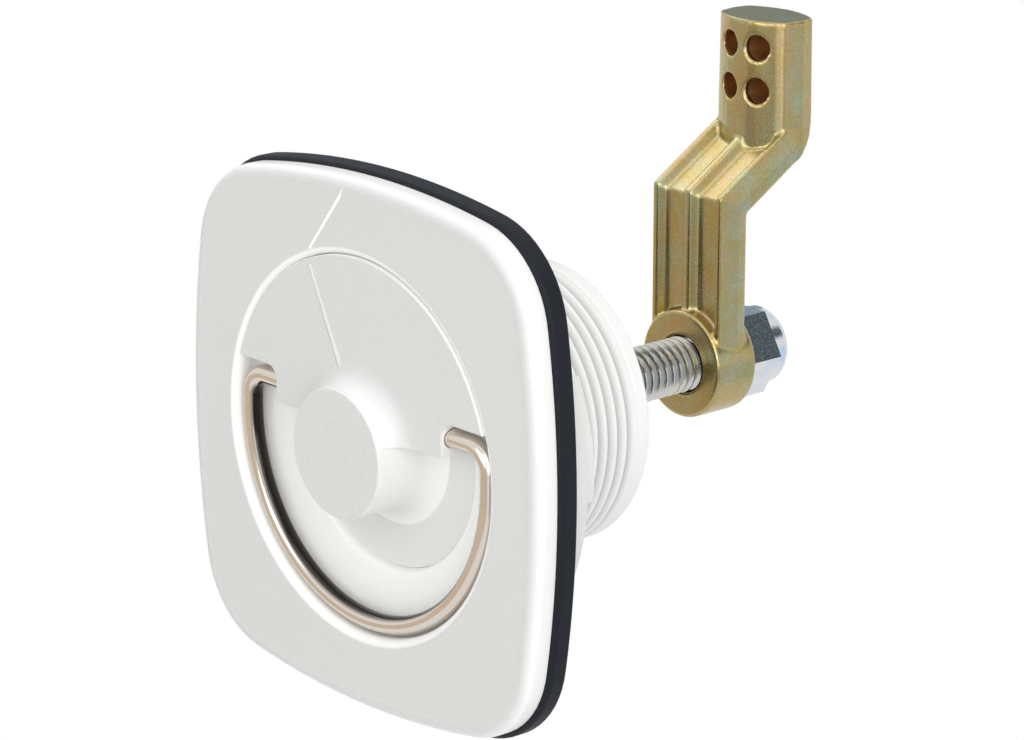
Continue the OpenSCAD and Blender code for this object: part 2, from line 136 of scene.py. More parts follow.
def edgesOf(parts):
    return [part for part in parts if isinstance(part, bmesh.types.BMEdge)]


def edgesAt(verts):
    return list({edge for vert in verts for edge in vert.link_edges})


def chain(bm, spots, closed=False):
    # corners, and the edges that join them
    verts = [bm.verts.new(spot) for spot in spots]
    edges = [bm.edges.new(pair) for pair in zip(verts, verts[1:])]
    if closed:
        edges.append(bm.edges.new((verts[-1], verts[0])))
    return verts + edges


def roundEdges(bm, edges, radius, segments=3):
    bmesh.ops.bevel(bm, geom=edges, offset=radius, offset_type="OFFSET", segments=segments, profile=0.5,
                    affect="EDGES", material=-1, clamp_overlap=True)


def edgesIn(bm, y):
    # the edges that lie in a plane across the barrel
    return [edge for edge in bm.edges if all(abs(vert.co.y - y) < nearEnough for vert in edge.verts)]


def openRim(bm, y):
    return [edge for edge in edgesIn(bm, y) if edge.is_boundary]


def capOpenings(bm):
    rims = [edge for edge in bm.edges if edge.is_boundary]
    return bmesh.ops.holes_fill(bm, edges=rims, sides=0)["faces"]


def closeUp(bm):
    bmesh.ops.remove_doubles(bm, verts=bm.verts[:], dist=weldGap)
    bmesh.ops.recalc_face_normals(bm, faces=bm.faces[:])
    if bm.calc_volume(signed=True) < 0:
        bmesh.ops.reverse_faces(bm, faces=bm.faces[:])


# Turned, drawn out and combined shapes
def spun(bm, geom, angle, steps, centre=(0, 0, 0), climb=0):
    # spins about a line along the barrel, and a full turn closes unless it climbs
    return bmesh.ops.spin(bm, geom=geom, cent=centre, axis=(0, 1, 0), dvec=(0, climb, 0),
                          angle=math.radians(angle), steps=steps,
                          use_merge=(angle == 360 and climb == 0))["geom_last"]


def turned(bm, profile, closed=False, steps=ringSteps, start=0, angle=360):
    # spins a profile of (radius, y) about the barrel's axis
    place = Matrix.Rotation(math.radians(start), 3, "Y")
    spots = [place @ Vector((radius, y, 0)) for radius, y in profile]
    spun(bm, chain(bm, spots, closed), angle, steps)


def turnedSolid(corners, steps=ringSteps, arcSteps=5, closed=False):
    # a solid of revolution, open profiles start and end on the axis
    bm = bmesh.new()
    turned(bm, rounded(corners, closed, arcSteps), closed, steps)
    closeUp(bm)
    return bm


def pullFaces(bm, faces, vec):
    # draws faces out along a vector and gives back the corners that moved
    verts = vertsOf(bmesh.ops.extrude_face_region(bm, geom=faces)["geom"])
    bmesh.ops.translate(bm, vec=vec, verts=verts)
    return verts


def raiseSector(bm, y, radii, angles, height):
    # pulls the flat faces of one sector out of a turned face, angles run from +X down
    chosen = []
    for face in bm.faces:
        x, faceY, z = face.calc_center_median()
        angle = math.degrees(math.atan2(-z, x))
        inside = any(angles[0] <= angle + turn <= angles[1] for turn in (-360, 0, 360))
        if abs(faceY - y) < nearEnough and radii[0] < math.hypot(x, z) < radii[1] and inside:
            chosen.append(face)
    verts = pullFaces(bm, chosen, (0, height, 0))
    bmesh.ops.delete(bm, geom=chosen, context="FACES")
    return verts


def slab(corners, vec):
    # a flat outline drawn out along a vector
    bm = bmesh.new()
    pullFaces(bm, [bm.faces.new([bm.verts.new(corner) for corner in corners])], vec)
    bmesh.ops.recalc_face_normals(bm, faces=bm.faces[:])
    return bm


def prism(outline, low, high):
    # raises an outline of (x, z) between two planes
    return slab([(x, low, z) for x, z in outline], (0, high - low, 0))


def rod(radius, length, place):
    # a plain cylinder along its own Z axis
    bm = bmesh.new()
    bmesh.ops.create_cone(bm, cap_ends=True, segments=48, radius1=radius, radius2=radius,
                          depth=length, matrix=place)
    return bm


def newObject(name, bm):
    mesh = bpy.data.meshes.new(name)
    bm.to_mesh(mesh)
    bm.free()
    made = bpy.data.objects.new(name, mesh)
    scene.collection.objects.link(made)
    return made


def evaluated(made):
    # the mesh of an object with its modifiers, and the object is removed
    graph = bpy.context.evaluated_depsgraph_get()
    mesh = bpy.data.meshes.new_from_object(made.evaluated_get(graph))
    bm = bmesh.new()
    bm.from_mesh(mesh)
    bpy.data.meshes.remove(mesh)
    bpy.data.meshes.remove(made.data)
    return bm


def combine(base, tool, operation):
    # joins two closed shapes, cuts one with the other or keeps what they share
    shape = newObject("shape", base)
    other = newObject("other", tool)
    modifier = shape.modifiers.new("combine", "BOOLEAN")
    modifier.operation = operation
    modifier.solver = "MANIFOLD"
    modifier.object = other
    bm = evaluated(shape)
    bpy.data.meshes.remove(other.data)
    return bm


def softened(bm, voxel, passes):
    # one even skin with soft edges, as a casting has
    shape = newObject("shape", bm)
    modifier = shape.modifiers.new("skin", "REMESH")
    modifier.mode = "VOXEL"
    modifier.voxel_size = voxel
    bm = evaluated(shape)
    for _ in range(passes):
        bmesh.ops.smooth_vert(bm, verts=bm.verts[:], factor=0.5,
                              use_axis_x=True, use_axis_y=True, use_axis_z=True)
    return bm


def makePiece(bm, name, node, finish, sharp=38):
    # scales a finished shape to metres and puts it in the node's place
    bmesh.ops.scale(bm, vec=(mm, mm, mm), verts=bm.verts[:])
    for face in bm.faces:
        face.smooth = True
    for edge in bm.edges:
        edge.smooth = edge.calc_face_angle(0) < math.radians(sharp)
    piece = newObject(name, bm)
    piece.data.materials.append(finishes[finish])
    weights = piece.modifiers.new("faceWeights", "WEIGHTED_NORMAL")
    weights.keep_sharp = True
    weights.weight = 80
    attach(piece, bodyOf[node])
    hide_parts(node)
    print("made", name, len(piece.data.polygons), "faces")
    return piece


# Threads
def screwThread(bm, thread, low, high, limit):
    # a right-hand thread between two planes, limit gives the radius that a point ends with
    pitch, steps, crest = thread["pitch"], thread["steps"], thread["crest"]
    outer = thread["radius"]
    inner = outer - thread["depth"]
    rootIn = (1 + crest - thread["root"]) / 2
    rootOut = rootIn + thread["root"]
    marks = [(0, outer), (crest, outer), (rootIn, inner), (rootOut, inner), (1, outer)]
    profile = chain(bm, [(radius, low + (share - 1) * pitch, 0) for share, radius in marks])
    spun(bm, profile, 360, steps, climb=pitch / steps)
    oneTurn = bm.verts[:] + bm.edges[:] + bm.faces[:]
    turns = math.ceil((high - low) / pitch) + 2
    for i in range(1, turns):
        copied = bmesh.ops.duplicate(bm, geom=oneTurn)["geom"]
        bmesh.ops.translate(bm, vec=(0, i * pitch, 0), verts=vertsOf(copied))
    bmesh.ops.remove_doubles(bm, verts=bm.verts[:], dist=weldGap)
    for vert in bm.verts:
        radius = math.hypot(vert.co.x, vert.co.z)
        scale = limit(radius, vert.co.y) / radius
        vert.co.x *= scale
        vert.co.z *= scale
    for plane, clearBelow in ((low, True), (high, False)):
        bmesh.ops.bisect_plane(bm, geom=bm.verts[:] + bm.edges[:] + bm.faces[:], plane_co=(0, plane, 0),
                               plane_no=(0, 1, 0), clear_inner=clearBelow, clear_outer=not clearBelow)


# Shader nodes, where each input takes a plain value or a link
class Nodes:
    def __init__(self, tree):
        self.tree = tree

    def feed(self, node, inputs):
        for label, value in inputs.items():
            if isinstance(value, bpy.types.NodeSocket):
                self.tree.links.new(value, node.inputs[label])
            else:
                node.inputs[label].default_value = value

    def add(self, kind, inputs, **settings):
        # a new node, and its outputs are given back
        node = self.tree.nodes.new(kind)
        for label, value in settings.items():
            setattr(node, label, value)
        self.feed(node, inputs)
        return node.outputs

    def noise(self, vector, scale, detail, rough=0.5):
        inputs = {"Vector": vector, "Scale": scale, "Detail": detail, "Roughness": rough}
        return self.add("ShaderNodeTexNoise", inputs)["Fac"]

    def range(self, value, fromLow, fromHigh, toLow=0, toHigh=1):
        inputs = {"From Min": fromLow, "From Max": fromHigh, "To Min": toLow, "To Max": toHigh}
        return self.add("ShaderNodeMapRange", {"Value": value} | inputs)["Result"]

    def mix(self, factor, first, second):
        # mixes two colours, whose sockets stand at 6 and 7 and come out at 2
        first, second = [(*colour, 1) if isinstance(colour, tuple) else colour for colour in (first, second)]
        return self.add("ShaderNodeMix", {"Factor": factor, 6: first, 7: second}, data_type="RGBA")[2]

    def calculate(self, operation, first, second):
        return self.add("ShaderNodeMath", {0: first, 1: second}, operation=operation)["Value"]

    def vector(self, operation, *values):
        return self.add("ShaderNodeVectorMath", dict(enumerate(values)), operation=operation)

    def bySight(self, lit, seen):
        # one shader for light, another for rays that see it directly, in a mirror or through glass
        path = self.add("ShaderNodeLightPath", {})
        sight = path["Is Camera Ray"]
        for label in ("Is Glossy Ray", "Is Transmission Ray"):
            sight = self.calculate("MAXIMUM", sight, path[label])
        return self.add("ShaderNodeMixShader", {"Fac": sight, 1: lit, 2: seen})["Shader"]


# Shared finishes, as node groups on coordinates in millimetres
surface = {"grainDetail": 3, "cloudDetail": 4, "cloudRough": 0.6, "cloudRange": (0.3, 0.7)}
plating = {
    "detail": 5, "rough": 0.65, "coolRange": (0.42, 0.66), "warmRange": (0.45, 0.7),
    "warmShift": (31, 17, 53),      # keeps the warm patches apart from the cool ones
    "speckScale": 3.2, "speckDetail": 2, "speckRange": (0.35, 0.75)}


def addGroup(name, scales, masks):
    # a group that turns a vector and some scales into masks
    group = bpy.data.node_groups.new(name, "ShaderNodeTree")
    group.interface.new_socket("Vector", in_out="INPUT", socket_type="NodeSocketVector")
    for label in scales:
        group.interface.new_socket(label, in_out="INPUT", socket_type="NodeSocketFloat")
    for label in masks:
        group.interface.new_socket(label, in_out="OUTPUT", socket_type="NodeSocketFloat")
    given = group.nodes.new("NodeGroupInput").outputs
    return Nodes(group), given, group.nodes.new("NodeGroupOutput")


def surfaceGroup():
    # fine grain for the bump, and soft clouds for colour and gloss
    nodes, given, result = addGroup("surfaceGrain", ("Grain Scale", "Cloud Scale"), ("Grain", "Cloud"))
    grain = nodes.noise(given["Vector"], given["Grain Scale"], surface["grainDetail"])
    cloud = nodes.noise(given["Vector"], given["Cloud Scale"], surface["cloudDetail"], surface["cloudRough"])
    nodes.feed(result, {"Grain": grain, "Cloud": nodes.range(cloud, *surface["cloudRange"])})
    return nodes.tree


def platingGroup():
    # two sets of soft patches, and specks, for plated and passivated metal
    nodes, given, result = addGroup("platingPatches", ("Patch Scale",), ("Cool", "Warm", "Specks"))
    moved = nodes.vector("ADD", given["Vector"], plating["warmShift"])["Vector"]
    cool = nodes.noise(given["Vector"], given["Patch Scale"], plating["detail"], plating["rough"])
    warm = nodes.noise(moved, given["Patch Scale"], plating["detail"], plating["rough"])
    specks = nodes.noise(given["Vector"], plating["speckScale"], plating["speckDetail"])
    nodes.feed(result, {
        "Cool": nodes.range(cool, *plating["coolRange"]),
        "Warm": nodes.range(warm, *plating["warmRange"]),
        "Specks": nodes.range(specks, *plating["speckRange"])})
    return nodes.tree


grainGroup = surfaceGroup()
patchGroup = platingGroup()


class Finish(Nodes):
    # a material with its Principled shader, and object coordinates in millimetres
    def __init__(self, name):
        self.material = bpy.data.materials.new(name)
        self.material.use_nodes = True
        super().__init__(self.material.node_tree)
        self.shader = self.tree.nodes["Principled BSDF"]
        coords = self.add("ShaderNodeTexCoord", {})
        self.normal = coords["Normal"]
        inputs = {"Vector": coords["Object"], "Scale": (1 / mm, 1 / mm, 1 / mm)}
        self.place = self.add("ShaderNodeMapping", inputs)["Vector"]

    def group(self, group, scales):
        return self.add("ShaderNodeGroup", {"Vector": self.place} | scales, node_tree=group)

    def bump(self, height, distance):
        inputs = {"Height": height, "Distance": distance * mm, "Strength": 1}
        return self.add("ShaderNodeBump", inputs)["Normal"]

    def along(self, vector):
        # the part of a vector that runs along the barrel
        return self.add("ShaderNodeSeparateXYZ", {"Vector": vector})["Y"]

    def fromAxis(self):
        # the line from the barrel's axis to a point
        return self.vector("MULTIPLY", self.place, (1, 0, 1))["Vector"]

    def towardAxis(self, low, high):
        # 1 on surfaces that look at the barrel's axis
        outward = self.vector("NORMALIZE", self.fromAxis())["Vector"]
        return self.range(self.vector("DOT_PRODUCT", outward, self.normal)["Value"], -low, -high)

    def frontShadeMask(self, face):
        # how much a surface takes the face's painted shade and grain, by its turn to the front and by its
        # depth
        turn = self.along(self.normal)
        near = self.range(self.along(self.place), face["depth"] + 1, face["depth"])
        curved = self.calculate("MULTIPLY", near, self.range(turn, *face["fade"]))
        curved = self.calculate("SUBTRACT", curved, self.towardAxis(*face["mouth"]))
        return self.calculate("MAXIMUM", curved, self.range(turn, *face["flat"]))

    def threadRoots(self, thread):
        # painted shade in the roots of an outside thread behind the panel's plane
        radius = self.vector("LENGTH", self.fromAxis())["Value"]
        root = self.range(radius, thread["root"], thread["crest"], thread["shade"], 0)
        return self.calculate("MULTIPLY", root, self.range(self.along(self.place), *thread["behind"]))


def plainFinish(name, look):
    # moulded plastic or rubber: two close colours in clouds, a fine grain and uneven gloss
    finish = Finish(name)
    grain = finish.group(grainGroup, {"Grain Scale": look["grainScale"], "Cloud Scale": look["cloudScale"]})
    colour = finish.mix(grain["Cloud"], look["colour"], look["second"])
    # surfaces that face the front get a darker colour with grain: painted shade, with real grain
    if "face" in look:
        face = look["face"]
        shadedGrain = finish.mix(finish.range(grain["Grain"], *face["grainRange"]), *face["colours"])
        colour = finish.mix(finish.frontShadeMask(face), colour, shadedGrain)
    if "thread" in look:
        # painted shade in the barrel thread's roots
        colour = finish.mix(finish.threadRoots(look["thread"]), colour, look["thread"]["dirt"])
    finish.feed(finish.shader, {
        "Base Color": colour,
        "Roughness": finish.range(grain["Cloud"], 0, 1, *look["roughness"]),
        "Normal": finish.bump(grain["Grain"], look["grainDepth"]),
        "IOR": look["ior"]})
    return finish.material


def metalFinish(name, look):
    # plated or bare metal: tinted patches, uneven gloss and a light grain
    finish = Finish(name)
    patches = finish.group(patchGroup, {"Patch Scale": look["patchScale"]})
    grain = finish.group(grainGroup, {"Grain Scale": look["grainScale"], "Cloud Scale": look["patchScale"]})
    colour = finish.mix(patches["Cool"], look["colour"], look["cool"])
    colour = finish.mix(patches["Warm"], colour, look["warm"])
    if "speck" in look:
        colour = finish.mix(finish.range(patches["Specks"], *look["speckRange"]), colour, look["speck"])
    # painted dark reflection on surfaces that look at the barrel's axis, inside the wire's loop
    if "inside" in look:
        colour = finish.mix(finish.towardAxis(*look["insideTurn"]), colour, look["inside"])
    finish.feed(finish.shader, {
        "Base Color": colour,
        "Roughness": finish.range(patches["Specks"], 0, 1, *look["roughness"]),
        "Normal": finish.bump(grain["Grain"], look["grainDepth"]),
        "Metallic": 1})
    return finish.material


# Looks, a row for each finish under the columns' names
plainColumns = ("colour", "second", "roughness", "grainScale", "grainDepth", "cloudScale", "ior")
plastic = ((0.92, 0.925, 0.91), (0.90, 0.905, 0.89), (0.36, 0.46), 4, 0.012, 0.12, 1.46)
plainRows = {
    "whitePlastic": plastic, "housingPlastic": plastic,
    "nutPlastic": ((0.82, 0.82, 0.80), (0.79, 0.79, 0.775), (0.40, 0.5), 4, 0.015, 0.1, 1.46),
    "blackRubber": ((0.007, 0.009, 0.013), (0.011, 0.013, 0.018), (0.5, 0.62), 3, 0.03, 0.2, 1.28),
    "nylon": ((0.62, 0.63, 0.60), (0.55, 0.56, 0.53), (0.4, 0.5), 4, 0.01, 0.3, 1.53),
}
metalColumns = ("colour", "cool", "warm", "roughness", "patchScale", "grainScale", "grainDepth")
metalRows = {
    "polishedWire": ((0.68, 0.62, 0.55), (0.68, 0.65, 0.61), (0.69, 0.6, 0.51), (0.12, 0.19), 0.08, 6, 0.001),
    "brightZinc": ((0.58, 0.58, 0.56), (0.54, 0.57, 0.58), (0.6, 0.57, 0.51), (0.16, 0.3), 0.3, 5, 0.006),
    "blueZinc": ((0.66, 0.69, 0.73), (0.56, 0.63, 0.7), (0.7, 0.7, 0.7), (0.14, 0.26), 0.25, 5, 0.006),
    "chromateHole": ((0.58, 0.35, 0.15), (0.54, 0.38, 0.18), (0.62, 0.36, 0.18), (0.4, 0.6), 0.4, 3, 0.03),
    "goldChromate": ((0.45, 0.35, 0.13), (0.41, 0.43, 0.26), (0.5, 0.36, 0.2), (0.27, 0.31),
                     0.22, 0.35, 0.008),
    "turnedBrass": ((0.72, 0.56, 0.28), (0.68, 0.56, 0.32), (0.74, 0.53, 0.26), (0.2, 0.32), 0.3, 6, 0.004),
    "springSteel": ((0.2, 0.2, 0.21), (0.16, 0.17, 0.2), (0.24, 0.21, 0.18), (0.3, 0.42), 0.3, 6, 0.005),
    "stampedSteel": ((0.62, 0.63, 0.64), (0.58, 0.61, 0.64), (0.64, 0.62, 0.58), (0.24, 0.36), 0.3, 6, 0.004),
}
# a darker grained colour for surfaces that face the front: painted shade, with real grain
shadedPlasticFace = {
    "colours": ((0.615, 0.62, 0.61), (0.695, 0.70, 0.69)), "grainRange": (0.3, 0.7), "depth": -6,
    "fade": (-0.5, -0.985),             # of surfaces in front of the depth, by their normal's Y
    "flat": (-0.99, -0.998, 0, 0.7),    # and of flat ones behind it
    "mouth": (0.12, 0.35)}              # the dish's mouth stays smooth and without the painted shade
# painted shade in the barrel thread's roots: radii, strength, depth range and colour
barrelShade = {"root": 22.75, "crest": 23.5, "shade": 0.6, "behind": (0.4, 0.6), "dirt": (0.42, 0.42, 0.41)}
extras = {
    "whitePlastic": {"face": shadedPlasticFace | {"fade": (-0.15, -0.97)}},
    "housingPlastic": {"face": shadedPlasticFace, "thread": barrelShade},
    "polishedWire": {"inside": (0.04, 0.036, 0.032), "insideTurn": (0.45, 0.8)},    # painted dark reflection inside the loop
    "goldChromate": {"speck": (0.25, 0.19, 0.08), "speckRange": (0.1, 0.9, 0, 0.4)},
}
finishes = {}
for build, columns, rows in ((plainFinish, plainColumns, plainRows), (metalFinish, metalColumns, metalRows)):
    for name, row in rows.items():
        finishes[name] = build(name, dict(zip(columns, row)) | extras.get(name, {}))
print("finishes ready")


# Housing: plate, dish and threaded barrel in one moulding
housingLow, housingHigh = boxOf("housing")
gasketLow, gasketHigh = boxOf("panel_gasket")
faceY = housingLow.y
plateBackY = gasketLow.y

plate = {
    "width": housingHigh.x - housingLow.x, "height": housingHigh.z - housingLow.z, "corner": 16.5,
    "bow": 2.2,             # how far each side bulges
    "edgeRound": 1.9, "edgeSteps": 8,
    "bead": 0.5,            # flat crest inside the rounding
    "beadSlope": 0.7,
    "sink": 0.12,           # how far the face lies below the bead
}
dish = {
    "recess": 31.15, "mouthRound": 1.45,
    "mouthFlat": 0.3,       # ring of the face beside the mouth
    "wallDepth": 4.4,
    "bowlDepth": 6.15,      # where the bowl's slope meets the floor's pocket
    "bowlRound": 1.4, "floor": 21, "floorRound": 0.2, "lip": 1.2, "outside": 34, "back": -0.2,
    "backRounds": (0.3, 0.5),       # at the barrel and at the outside
}
barrel = {
    "radius": mounts["barrel"]["dims"]["r_mm"], "depth": 0.9, "pitch": 2.1, "crest": 0.3, "root": 0.16,
    "steps": 144, "threadFrom": 0.9, "threadTo": 31.6, "runOut": 1.2,
    "plainFront": 0.3,      # plain step between the dish and the thread
    "plainRear": 0.3,       # and behind the thread
    "wall": 3.6, "end": housingHigh.y,
    "endRounds": (0.5, 0.6),        # inside and outside
}
plateRidge = {"from": (-11.3, 30.6), "to": (-2.9, 41.5), "widths": (1.0, 1.3), "height": 0.2, "sink": 0.1}
hub = {
    "seat": 2.55,           # front of the web behind the turning floor
    "webBack": 5.75, "bore": 8.08, "boreEdge": 0.3, "tube": 11.08, "tubeEnd": 27, "tubeEdge": 0.4,
    "foot": 0.8,            # rounding where tube and barrel meet the web
    "slot": (10.6, 15.4),   # stop slot in the web
    "slotAngles": (-2, 117), "slotDepth": 2, "ribs": 6, "ribThick": 2,
    "ribSink": 0.5,         # how far the ribs run into tube, barrel and web
    "ribEdge": 0.25,
}


def circlesMeet(a, radiusA, b, radiusB):
    apart = (b - a).length
    along = (b - a) / apart
    reach = (radiusA ** 2 - radiusB ** 2 + apart ** 2) / (2 * apart)
    side = math.sqrt(radiusA ** 2 - reach ** 2)
    spots = [a + along * reach + Vector((-along.y, along.x)) * side * sign for sign in (-1, 1)]
    return max(spots, key=lambda spot: spot.x + spot.y)


def bowRadius(half, bow):
    # of a circle that bulges by bow over a chord of twice half
    return (half ** 2 + bow ** 2) / (2 * bow)


def plateRay(angle, inset):
    # where a ray from the middle leaves the plate's bowed outline, moved in by inset
    corner = plate["corner"]
    sideRadius = bowRadius(plate["height"] / 2 - corner, plate["bow"])
    topRadius = bowRadius(plate["width"] / 2 - corner, plate["bow"])
    side = Vector((plate["width"] / 2 - sideRadius, 0))
    top = Vector((0, plate["height"] / 2 - topRadius))
    turn = circlesMeet(side, sideRadius - corner, top, topRadius - corner)
    ray = Vector((abs(math.cos(angle)), abs(math.sin(angle))))
    sideEnd = turn + (turn - side).normalized() * (corner - inset)
    topEnd = turn + (turn - top).normalized() * (corner - inset)
    if ray.y * sideEnd.x < ray.x * sideEnd.y:
        centre, radius = side, sideRadius - inset
    elif ray.y * topEnd.x > ray.x * topEnd.y:
        centre, radius = top, topRadius - inset
    else:
        centre, radius = turn, corner - inset
    across = ray.dot(centre)
    return across + math.sqrt(across ** 2 - centre.length_squared + radius ** 2)


def byAngle(verts):
    # a ring's corners in order round the axis
    def step(vert):
        angle = math.atan2(vert.co.z, vert.co.x)
        return round(angle * ringSteps / math.tau) % ringSteps

    return sorted(verts, key=step)


def plateRing(bm, inset, y):
    # a closed ring that follows the plate's outline
    place = Matrix.Translation((0, y, 0)) @ alongY
    verts = bmesh.ops.create_circle(bm, segments=ringSteps, radius=1, matrix=place)["verts"]
    for vert in verts:
        reach = plateRay(math.atan2(vert.co.z, vert.co.x), inset)
        vert.co = Vector((vert.co.x * reach, y, vert.co.z * reach))
    return byAngle(verts)


def ringAt(bm, radius, y):
    return byAngle([vert for vert in bm.verts if abs(vert.co.y - y) < nearEnough
                    and abs(math.hypot(vert.co.x, vert.co.z) - radius) < nearEnough])


def skin(bm, rings):
    # faces between rings that have their corners at the same angles
    for first, second in zip(rings, rings[1:]):
        for i in range(ringSteps):
            bm.faces.new((first[i - 1], first[i], second[i], second[i - 1]))


def addRidge(bm, ridge, y):
    # a low seam on a flat face, sunk a little into it
    start, end = Vector(ridge["from"]), Vector(ridge["to"])
    across = (end - start).orthogonal().normalized()
    rings = []
    for spot, width in zip((start, end), ridge["widths"]):
        left, right = spot + across * width / 2, spot - across * width / 2
        rings.append([bm.verts.new((left.x, y + ridge["sink"], left.y)),
                      bm.verts.new((spot.x, y - ridge["height"], spot.y)),
                      bm.verts.new((right.x, y + ridge["sink"], right.y))])
    sides = [bm.faces.new((rings[0][i - 1], rings[0][i], rings[1][i], rings[1][i - 1])) for i in range(3)]
    ends = [bm.faces.new(rings[0]), bm.faces.new(rings[1])]
    bmesh.ops.recalc_face_normals(bm, faces=sides + ends)


def addRibs(bm, inside):
    # between the tube and the barrel's inside
    sink = hub["ribSink"]
    deep = hub["tubeEnd"] - hub["webBack"]
    move = Matrix.Translation(((inside + hub["tube"]) / 2, hub["webBack"] + deep / 2 - sink, 0))
    size = Matrix.Diagonal((inside - hub["tube"] + 2 * sink, deep, hub["ribThick"], 1))
    for i in range(hub["ribs"]):
        spin = Matrix.Rotation(math.tau * (i + 0.5) / hub["ribs"], 4, "Y")
        rib = bmesh.ops.create_cube(bm, size=1, matrix=spin @ move @ size)
        roundEdges(bm, edgesAt(rib["verts"]), hub["ribEdge"], segments=2)


def runOut(radius, y):
    # the barrel's thread fades out at both ends
    near = min(y - barrel["threadFrom"], barrel["threadTo"] - y) / barrel["runOut"]
    fade = max(0, min(1, near))
    return barrel["radius"] - (barrel["radius"] - radius) * fade


def makeHousing():
    bm = bmesh.new()
    screwThread(bm, barrel, barrel["threadFrom"], barrel["threadTo"], runOut)
    threadFront = openRim(bm, barrel["threadFrom"])
    threadBack = openRim(bm, barrel["threadTo"])
    radius = barrel["radius"]
    inside = radius - barrel["wall"]
    mouth = dish["recess"] + dish["mouthRound"] + dish["mouthFlat"]
    level = faceY + plate["sink"]
    rearStart = barrel["threadTo"] + barrel["plainRear"]
    turned(bm, rounded([
        (mouth, level, 0), (dish["recess"], level, dish["mouthRound"]),
        (dish["recess"], faceY + dish["wallDepth"], dish["bowlRound"]),
        (dish["floor"], faceY + dish["bowlDepth"], dish["lip"]),
        (dish["floor"], hub["seat"], dish["floorRound"]), (hub["slot"][1], hub["seat"], 0),
        (hub["slot"][0], hub["seat"], 0), (hub["bore"], hub["seat"], hub["boreEdge"]),
        (hub["bore"], hub["tubeEnd"], hub["boreEdge"]), (hub["tube"], hub["tubeEnd"], hub["tubeEdge"]),
        (hub["tube"], hub["webBack"], hub["foot"]), (inside, hub["webBack"], hub["foot"]),
        (inside, barrel["end"], barrel["endRounds"][0]),
        (radius, barrel["end"], barrel["endRounds"][1]),
        (radius, rearStart, 0)]))
    turned(bm, rounded([
        (radius, barrel["plainFront"], 0), (radius, dish["back"], dish["backRounds"][0]),
        (dish["outside"], dish["back"], dish["backRounds"][1]),
        (dish["outside"], plateBackY, 0)]))
    edge = plate["edgeRound"]
    rings = [plateRing(bm, 0, plateBackY)]
    for i in range(plate["edgeSteps"] + 1):
        angle = math.radians(90) * i / plate["edgeSteps"]
        rings.append(plateRing(bm, edge * (1 - math.cos(angle)), faceY + edge * (1 - math.sin(angle))))
    rings.append(plateRing(bm, edge + plate["bead"], faceY))
    rings.append(plateRing(bm, edge + plate["bead"] + plate["beadSlope"], level))
    skin(bm, [ringAt(bm, dish["outside"], plateBackY)] + rings + [ringAt(bm, mouth, level)])
    bmesh.ops.bridge_loops(bm, edges=threadFront + openRim(bm, barrel["plainFront"]))
    bmesh.ops.bridge_loops(bm, edges=threadBack + openRim(bm, rearStart))
    closeUp(bm)
    raiseSector(bm, hub["seat"], hub["slot"], hub["slotAngles"], hub["slotDepth"])
    closeUp(bm)
    addRibs(bm, inside)
    addRidge(bm, plateRidge, level)
    makePiece(bm, "plateAndBarrel", "housing", "housingPlastic")


makeHousing()


# Gasket between the plate and the panel
gasket = {
    "proud": (gasketHigh.x - gasketLow.x - plate["width"]) / 2, "opening": dish["outside"] + 0.4,
    "frontRound": 0.9, "backRound": 0.7,
    "flat": 2,              # how far inside the plate's edge the flat faces start
}


def makeGasket():
    bm = bmesh.new()
    opening = gasket["opening"]
    outer = rounded([
        (gasket["flat"], gasketLow.y, 0), (-gasket["proud"], gasketLow.y, gasket["frontRound"]),
        (-gasket["proud"], gasketHigh.y, gasket["backRound"]),
        (gasket["flat"], gasketHigh.y, 0)])
    turned(bm, [(opening, gasketLow.y), (opening, gasketHigh.y)])
    rings = [plateRing(bm, inset, y) for inset, y in outer]
    skin(bm, [ringAt(bm, opening, gasketLow.y)] + rings + [ringAt(bm, opening, gasketHigh.y)])
    closeUp(bm)
    makePiece(bm, "rubberGasket", "panel_gasket", "blackRubber")


makeGasket()


# Ring nut on the barrel, with lugs for a spanner
nutLow, nutHigh = boxOf("mounting_nut")
ringNut = {
    "radius": (nutHigh.x - nutLow.x) / 2, "flange": 6, "edge": 0.7, "bore": barrel["radius"] + 0.3,
    "boreEdge": 0.5, "lugs": 6, "lugRadii": (29.9, 36.9),
    "lugSpan": (-27, 5.5),      # degrees below +X
    "lugEdge": 0.5,
    "lugTurn": 1,               # radians that the faces at a lug's edges turn by at least
}


def makeRingNut():
    bm = bmesh.new()
    back = nutLow.y + ringNut["flange"]
    inner, outer = ringNut["lugRadii"]
    turned(bm, rounded([
        (ringNut["bore"], nutLow.y, ringNut["boreEdge"]),
        (ringNut["radius"], nutLow.y, ringNut["edge"]), (ringNut["radius"], back, ringNut["edge"]),
        (outer, back, 0), (inner, back, 0),
        (ringNut["bore"], back, ringNut["boreEdge"])], closed=True), closed=True)
    closeUp(bm)
    for i in range(ringNut["lugs"]):
        angles = [angle + 360 * i / ringNut["lugs"] for angle in ringNut["lugSpan"]]
        top = raiseSector(bm, back, ringNut["lugRadii"], angles, nutHigh.y - back)
        rim = [edge for edge in edgesAt(top) if edge.calc_face_angle(0) > ringNut["lugTurn"]]
        roundEdges(bm, rim, ringNut["lugEdge"])
    closeUp(bm)
    makePiece(bm, "ringNut", "mounting_nut", "nutPlastic")


makeRingNut()


